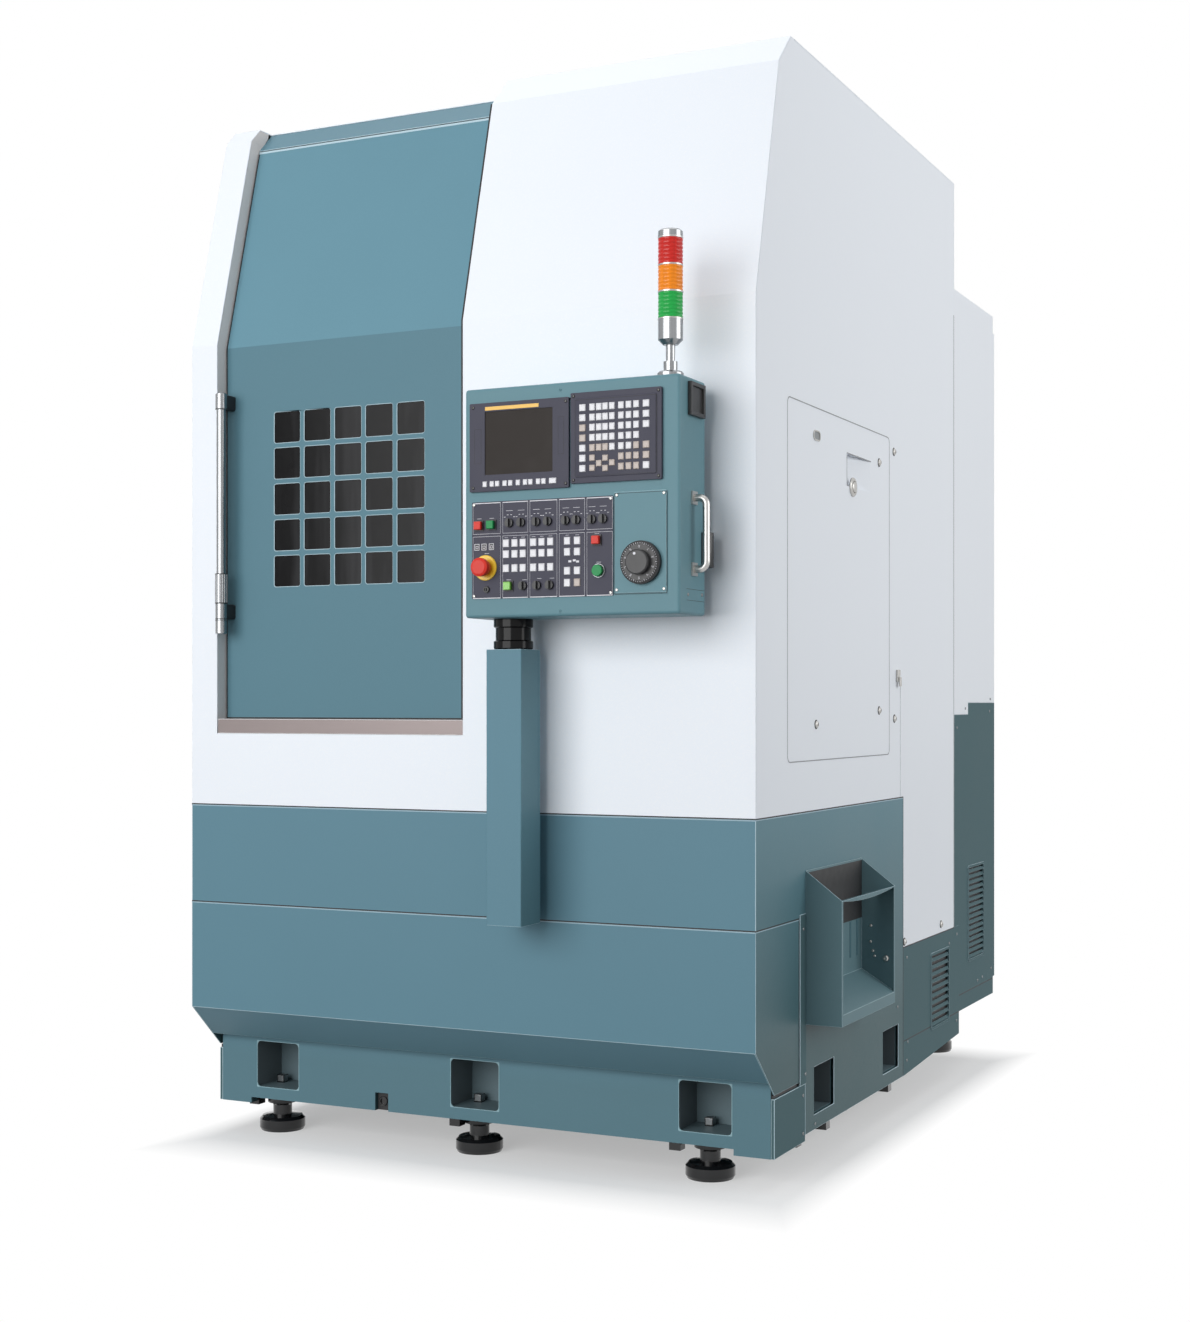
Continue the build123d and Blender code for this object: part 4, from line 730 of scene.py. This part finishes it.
# Painted shadow: dark rings round the heads of the side screws
shadow_rings = bmesh.new()
for place in side_screws:
    add_turned(shadow_rings, place, "x", [(12.5, 0), (12.5, 0.8), (9, 1.2)], 24)
new_piece("screw_shadow_rings", shadow_rings, "dark_gap", "machine")
strip_side = right_side + 3
small = [(right_side, y, z) for y, z in ((1271, 455), (1747, 444), (1840, 464), (1281, 197), (1835, 180),
                                         (1271, 143), (1175, 318), (340, 207), (340, 108), (434, 115))]
small += [(strip_side, y, z) for y, z in ((350, 262), (336, 640))]
small += [(cabinet_side, y, z) for y, z in ((2165, 268), (2230, 272), (2350, 288), (1898, 1144),
                                            (2330, 1197), (2005, 1208), (2340, 1240))]
screws("panel_screws", small, "x", 4.5, 2.5, "dull_steel", "machine")

latch = bmesh.new()
add_turned(latch, (right_side, 749, 1829), "x",
           [(27, 0), (27, 3), (24, 6), (18, 6.6), (17, 3.5), (15.5, 3.5), (15, 7), (10, 9.5), (0, 10)], 40)
smoothed(new_piece("cover_latch", latch, "silver", "machine"), 30)
slot_rim = bmesh.new()
slot_floor = bmesh.new()


def add_oblong(mesh, centre, half_y, half_z, x, holes=None):
    """A flat oblong that faces the right side, or a ring when a smaller one is cut out of it."""
    def outline(shrink):
        points = []
        radius = half_z - shrink
        for i in range(24):
            turn = 2 * math.pi * i / 24
            shift = (half_y - half_z) * (1 if math.cos(turn) >= 0 else -1)
            points.append((centre[0] + shift + radius * math.cos(turn), centre[1] + radius * math.sin(turn)))
        return points
    rings = []
    for shrink, place in ((0, x[0]), (0, x[1])) + (((holes, x[1]), (holes, x[0])) if holes else ()):
        rings.append([mesh.verts.new(at(place, y, z)) for y, z in outline(shrink)])
    for lower, upper in list(zip(rings, rings[1:])) + ([(rings[-1], rings[0])] if holes else []):
        join_rings(mesh, lower, upper)
    if not holes:
        mesh.faces.new(rings[0])
        mesh.faces.new(rings[-1][::-1])


add_oblong(slot_rim, (447, 1935), 27, 14, (right_side, right_side + 2.5), 3.5)
add_oblong(slot_floor, (447, 1935), 24, 11, (right_side, right_side + 0.7))
smoothed(new_piece("cover_slot_rim", slot_rim, "silver", "machine"))
new_piece("cover_slot_floor", slot_floor, "dull_steel", "machine")

seam_latch = bmesh.new()
add_slab(seam_latch, (right_side, right_side + 7), (1160, 1186), (1290, 1326), 1.5)
add_slab(seam_latch, (right_side + 7, right_side + 12), (1166, 1182), (1276, 1304), 1.5)
new_piece("seam_latch", seam_latch, "silver", "machine")

side_lines = bmesh.new()
add_slab(side_lines, (right_side - 0.4, right_side + 0.15), (1204.5, 1206), (945, 1300))
new_piece("side_seam", side_lines, "dull_steel", "machine")

hook = bmesh.new()
add_slab(hook, (right_side + 30, right_side + 36), (546, 550), (366, 389), 1.5)
add_slab(hook, (right_side + 30, right_side + 46), (546, 550), (361, 367), 1.5)
new_piece("chute_hook", hook, "silver", "machine")

# Case of the pendant, right side: a small cover under the grip
cover = bmesh.new()
for z in (1473, 1500):
    add_slab(cover, (case_side, case_side + 0.3), (-165, -54), (z, z + 0.9))
new_piece("case_cover_line", cover, "dark_gap", "pendant")
screws("case_side_screws", [(case_side, -156, 1487), (case_side, -70, 1490)], "x", 4.5, 2.2, "dull_steel",
       "pendant")

# Cable notch in the plinth: a dark inset with a gland
gland = bmesh.new()
add_slab(gland, (-323.7, -282.3), (142, 169.5), (100.5, 149.5), 2)
new_piece("notch_inset", gland, "dark_gap", "machine")
gland_ring = bmesh.new()
add_turned(gland_ring, (-303, 142, 126), "-y", [(13, 0), (13, 5), (11, 6.5), (8, 6.5), (7.5, 2), (0, 2)], 32)
smoothed(new_piece("notch_gland", gland_ring, "black_steel", "machine"))


# Shadow gaps between the sheets

def sloped(height, depth):
    """A place on the folded front at a height, moved in by a depth square to the sheet."""
    if height <= crease_height:
        return (depth, height - depth * math.tan(fold_angle / 2) * (height == crease_height))
    run = (height - crease_height) * math.tan(fold_angle)
    return (run + depth * math.cos(fold_angle), height - depth * math.sin(fold_angle))


def folded_line(foot, top, near, far):
    """The outline of a thin strip that follows the folded front between two depths."""
    heights = (foot, crease_height, top)
    return [sloped(z, near) for z in heights] + [sloped(z, far) for z in reversed(heights)]


gap = 3.4
proud = 0.25
strip_back, body_back, corner_back = 312, 1236, 1807
gaps = bmesh.new()
add_slab(gaps, (-right_side, right_side), (-proud, 0.5), (waist_top, waist_top + gap))
add_slab(gaps, (-right_side, right_side), (-proud, 0.5), (apron_top, apron_top + gap))
for side in (-1, 1):
    face = sorted((side * (right_side - 0.5), side * (right_side + proud)))
    add_slab(gaps, face, (0, body_back), (waist_top, waist_top + gap))
    add_slab(gaps, face, (0, strip_back), (apron_top, apron_top + gap))
    add_slab(gaps, face, (strip_back - gap, strip_back), (238, apron_top))
    add_slab(gaps, face, (body_back - gap, body_back), (104, waist_top))
    add_slab(gaps, face, (body_back, corner_back), (white_foot - gap, white_foot))
    add_slab(gaps, face, (corner_back - gap, corner_back), (white_foot, 2500))
    inside = sorted((side * (right_side - 14), side * (right_side - 4)))
    add_slab(gaps, inside, (132, 311), (236, 244))
add_slab(gaps, (right_side, right_side + proud), (1242, 1868), (203, 203 + gap))
add_slab(gaps, (cabinet_side, cabinet_side + proud), (1812, 2378), (247, 247 + gap))
add_prism(gaps, folded_line(door_foot, slant_top - 2, -0.8, 3.2), 24.2, bay_right - 0.3)
new_piece("sheet_gaps", gaps, "dark_gap", "machine")

# Painted highlights: pale strips on the sheet edges beside those gaps
lights = bmesh.new()
for top in (waist_top, apron_top):
    add_slab(lights, (-right_side, right_side), (-proud, 0.5), (top - 3.2, top))
for side in (-1, 1):
    face = sorted((side * (right_side - 0.5), side * (right_side + proud)))
    add_slab(lights, face, (0, body_back - gap), (waist_top - 2.6, waist_top))
    add_slab(lights, face, (0, strip_back - gap), (apron_top - 2.6, apron_top))
new_piece("painted_edge_highlights", lights, "blue_painted_highlight", "machine")

cover_gap_and_recess_shade = bmesh.new()
add_frame(cover_gap_and_recess_shade, "x", (223, 1096), (1074, 2010), (18, 16), 2.6, right_side, right_side + 0.3)
# Painted shade: grey strips along the top and left edges of the finger recess
add_slab(cover_gap_and_recess_shade, (right_side - 0.3, right_side + 0.3), (699, 916), (1917, 1920.5))
add_slab(cover_gap_and_recess_shade, (right_side - 0.3, right_side + 0.3), (698.5, 701.5), (1832, 1917))
add_slab(cover_gap_and_recess_shade, (right_side - 0.3, right_side + 0.3), (702, 790), (1828.5, 1830.5))
new_piece("cover_gap_and_recess_shade", cover_gap_and_recess_shade, "seam_grey", "machine")

door_gaps = bmesh.new()
add_prism(door_gaps, folded_line(door_foot, slant_top - 15, door_face - 0.3, door_face + 0.2),
          door_left, door_left + 3)
add_slab(door_gaps, (door_left, door_right), (door_face - 0.35, door_face + 0.2), (door_foot, door_foot + 4))
new_piece("door_gaps", door_gaps, "dark_gap", "door")
# Painted highlight: a pale strip along the door's top crest
door_crest = bmesh.new()
crest = slant_top - 15
add_prism(door_crest, [sloped(crest, door_face - 0.6), sloped(crest, door_face + 0.2),
                       sloped(crest - 6, door_face + 0.2), sloped(crest - 6, door_face - 0.3)],
          door_left, door_right)
new_piece("door_crest", door_crest, "teal_painted_highlight", "door")

# The jamb's top, which closes the bay's corner under the roof
jamb = bmesh.new()
add_prism(jamb, [(165, 2849), (203, 2885.6), (246, 2885.6), (243, 2872), (214, 2840)],
          bay_left - 0.1, bay_left + 0.2)
new_piece("jamb_top", jamb, "grey_trim", "machine")

# Lifting pockets: linings and walls of painted shade, rims of painted highlight and the square ends of the
# levelling screws
front_pockets = ((-720, -577), (-84, 66), (589, 736))
pocket_rise, side_pocket_rise = (132, 264), (140, 265)
plinth_face, plinth_side, pocket_depth = 130, 840, 120
linings, walls, rims, ends = bmesh.new(), bmesh.new(), bmesh.new(), bmesh.new()
for x0, x1 in front_pockets:
    depth = (plinth_face + 3, plinth_face + pocket_depth)
    add_slab(linings, (x0, x1), (depth[1] - 1, depth[1] - 0.2), pocket_rise)
    add_slab(linings, (x0, x1), depth, (pocket_rise[1] - 1, pocket_rise[1] - 0.2))
    add_slab(linings, (x1 - 1, x1 - 0.2), depth, pocket_rise)
    add_slab(linings, (x0, x1), depth, (pocket_rise[0] + 0.2, pocket_rise[0] + 1))
    add_slab(walls, (x0 + 0.2, x0 + 1), depth, pocket_rise)
    add_frame(rims, "y", (x0 - 0.6, x1 + 0.6), (pocket_rise[0] - 0.6, pocket_rise[1] + 0.6), (3, 12), 1.6,
              plinth_face + 3, plinth_face - 0.4)
for y0, y1 in ((427, 590), (1032, 1186)):
    for side in (-1, 1):
        depth = sorted((side * (plinth_side - pocket_depth), side * (plinth_side - 1)))
        inner = sorted((side * (plinth_side - pocket_depth + 0.2), side * (plinth_side - pocket_depth + 1)))
        add_slab(walls, inner, (y0, y1), side_pocket_rise)
        add_slab(walls, depth, (y0 + 0.2, y0 + 1), side_pocket_rise)
        add_slab(walls, depth, (y1 - 1, y1 - 0.2), side_pocket_rise)
        add_slab(walls, depth, (y0, y1), (264, 264.8))
        add_slab(linings, depth, (y0, y1), (140.2, 141))
for x, y in ((-690, 212), (-44, 220), (640, 220)):
    add_slab(ends, (x - 11.8, x + 11.8), (y - 11.8, y + 11.8), (134, 155.4), 3)
new_piece("pocket_linings", linings, "shaded_teal", "machine")
new_piece("pocket_walls", walls, "shaded_wall_teal", "machine")
new_piece("pocket_rims", rims, "pendant_painted_highlight", "machine")
new_piece("screw_ends", ends, "dull_steel", "machine")

# Dark sheets of painted shade behind the louvres and in the mouth of the chip chute
shades = bmesh.new()
add_slab(shades, (841.6, 842.6), (1534, 1743), (196, 433))
add_slab(shades, (right_side - 14, right_side - 13), (1534, 1743), (280, 433))
add_slab(shades, (cabinet_side - 10, cabinet_side - 9), (2039, 2246), (349, 671))
add_slab(shades, (right_side + 3, right_side + 3.6), (363.5, 821.5), (622, 784))
new_piece("inner_shades", shades, "dark_gap", "machine")
ribs = bmesh.new()
for y in (430, 500, 575, 640, 720, 780):
    add_slab(ribs, (right_side + 3, right_side + 5), (y - 5, y + 5), (520, 620), 0.9)
new_piece("chute_ribs", ribs, "teal_paint", "machine")
chute_wall = 822
chute_spots = ((880, 600), (879, 555), (886, 529), (891, 515))
screws("chute_screws", [(x, chute_wall, z) for x, z in chute_spots], "-y", 4, 2.5, "silver", "machine")
screws("chute_bolt", [(924, chute_wall, 510)], "-y", 9, 5, "silver", "machine")

# Bright rings between the lamp's lenses, and grooves in the handle's steel ends
tier_rings = bmesh.new()
lamp_foot = case_top + 138
for rise in (0, 65, 129, 195):
    add_turned(tier_rings, (693, -160, lamp_foot + rise - 2.5), "z",
               [(29.6, 0), (30.8, 1), (30.8, 4), (29.6, 5)], 40)
smoothed(new_piece("lamp_rings", tier_rings, "silver", "pendant"))
handle_rings = bmesh.new()
handle_x, handle_y = -743, -8
for radius, outer, thickness, heights in ((16, 16.6, 2, (1457, 1461, 2047)), (17, 17.5, 2.2, (1505, 1586))):
    groove = [(radius, 0), (outer, 0.4), (outer, thickness - 0.4), (radius, thickness)]
    for height in heights:
        add_turned(handle_rings, (handle_x, handle_y, height), "z", groove, 32)
smoothed(new_piece("handle_rings", handle_rings, "dark_gap", "door"))

# Rounded edges of folded sheet and machined parts; some get a painted highlight along the round
rounded = (
    (1.8, "teal_painted_highlight", ("door_panel",), False),
    (1.4, "pendant_painted_highlight", ("pendant_case", "wheel_plate"), False),
    (2.4, "teal_painted_highlight", ("front_apron", "waist_band", "door_header", "rear_cabinet_base", "corner_covers",
                        "rear_skirts", "pendant_post"), True),
    (2.0, "teal_painted_highlight", ("chip_chute",), True),
    (1.6, "steel_painted_highlight", ("door_sill",), True),
    (2.0, None, ("front_panel", "right_side_panel", "left_side_panel", "roof_panel", "rear_cabinet"), True),
    (1.3, None, ("access_cover", "operator_plate", "screen_unit", "key_unit", "handle_brackets",
                 "side_fittings"), True),
    (3.0, None, ("base_casting", "column", "headstock", "saddle", "ram", "floor_fixings"), True),
)
for width, highlight_finish, names, tight in rounded:
    for name in names:
        edge_rounding(nodes[name], width, highlight_finish, tight)


# Camera, lights and floor

def aim(thing, target):
    thing.rotation_euler = (Vector(target) - thing.location).to_track_quat("-Z", "Y").to_euler()


camera = bpy.data.objects.new("camera", bpy.data.cameras.new("camera"))
camera.location = at(2541.1, -4397.2, 1229.6)
camera.data.sensor_width = 36
camera.data.lens = 52.4
camera.data.shift_y = 0.031
camera.rotation_euler = (math.pi / 2, 0, 0.4505)
bpy.context.scene.collection.objects.link(camera)
bpy.context.scene.camera = camera


def lamp(name, place, target, size, power):
    data = bpy.data.lights.new(name, "AREA")
    data.shape = "RECTANGLE"
    data.size, data.size_y = size
    data.energy = power
    light = bpy.data.objects.new(name, data)
    light.location = place
    bpy.context.scene.collection.objects.link(light)
    aim(light, target)


lamp("front_softbox", (-1.5, -8.0, 2.8), (0, -0.5, 1.3), (6.4, 4.8), 418)
lamp("side_softbox", (7.0, 0.5, 3.2), (0.8, 0, 1.3), (5.0, 4.4), 206)
lamp("top_softbox", (0, 0, 6.5), (0, 0, 0), (6.0, 6.0), 86)


def studio_sky():
    """White behind the machine and in what it mirrors, while a dimmer and cooler light falls on it."""
    world = bpy.data.worlds.new("studio")
    world.use_nodes = True
    sky = Graph(world.node_tree)
    mirrored = sky.math("MAXIMUM", sky.ray("Is Glossy Ray"), sky.ray("Is Transmission Ray"))
    seen = sky.math("MAXIMUM", sky.ray("Is Camera Ray"), mirrored)
    ambient = sky.node("ShaderNodeBackground", {}, {"Color": (0.93, 0.96, 1.0, 1), "Strength": 0.34})
    backdrop = sky.node("ShaderNodeBackground", {}, {"Color": (1, 1, 1, 1), "Strength": 1.0})
    joined = sky.node("ShaderNodeMixShader", {}, {0: seen, 1: ambient, 2: backdrop})
    sky.node("ShaderNodeOutputWorld", {}, {"Surface": joined})
    return world


def studio_floor():
    """White floor that keeps a soft shadow near the machine and fades into the white behind it."""
    floor = Finish("studio_floor")
    speck = floor.noise(30.0, 3.0)
    shown = floor.math("MAXIMUM", floor.ray("Is Camera Ray"), floor.ray("Is Glossy Ray"))
    pale = floor.mixed(speck, (0.9, 0.9, 0.9, 1), (0.93, 0.93, 0.93, 1))
    paint = floor.shader(Base_Color=floor.mixed(shown, (0.16, 0.16, 0.16, 1), pale), Roughness=0.75,
                         Specular_IOR_Level=0.2)
    beside = floor.math("ABSOLUTE", floor.axis("X")) - 0.85
    before = floor.math("ABSOLUTE", floor.axis("Y")) - 1.05
    away = floor.math("MAXIMUM", floor.math("MAXIMUM", beside * 2.2, before), 0.0)
    fade = floor.clamped(away * 2.6 + 0.4)
    white_light = floor.node("ShaderNodeEmission", {}, {"Color": (1, 1, 1, 1), "Strength": 1.0})
    blend = floor.node("ShaderNodeMixShader", {}, {0: fade * shown, 1: paint, 2: white_light})
    return floor.done(blend)


bpy.context.scene.world = studio_sky()
ground = bmesh.new()
bmesh.ops.create_grid(ground, x_segments=8, y_segments=8, size=14)
data = bpy.data.meshes.new("floor")
ground.to_mesh(data)
ground.free()
data.materials.append(studio_floor())
floor_sheet = bpy.data.objects.new("floor", data)
bpy.context.scene.collection.objects.link(floor_sheet)

bpy.context.scene.view_settings.view_transform = "Standard"
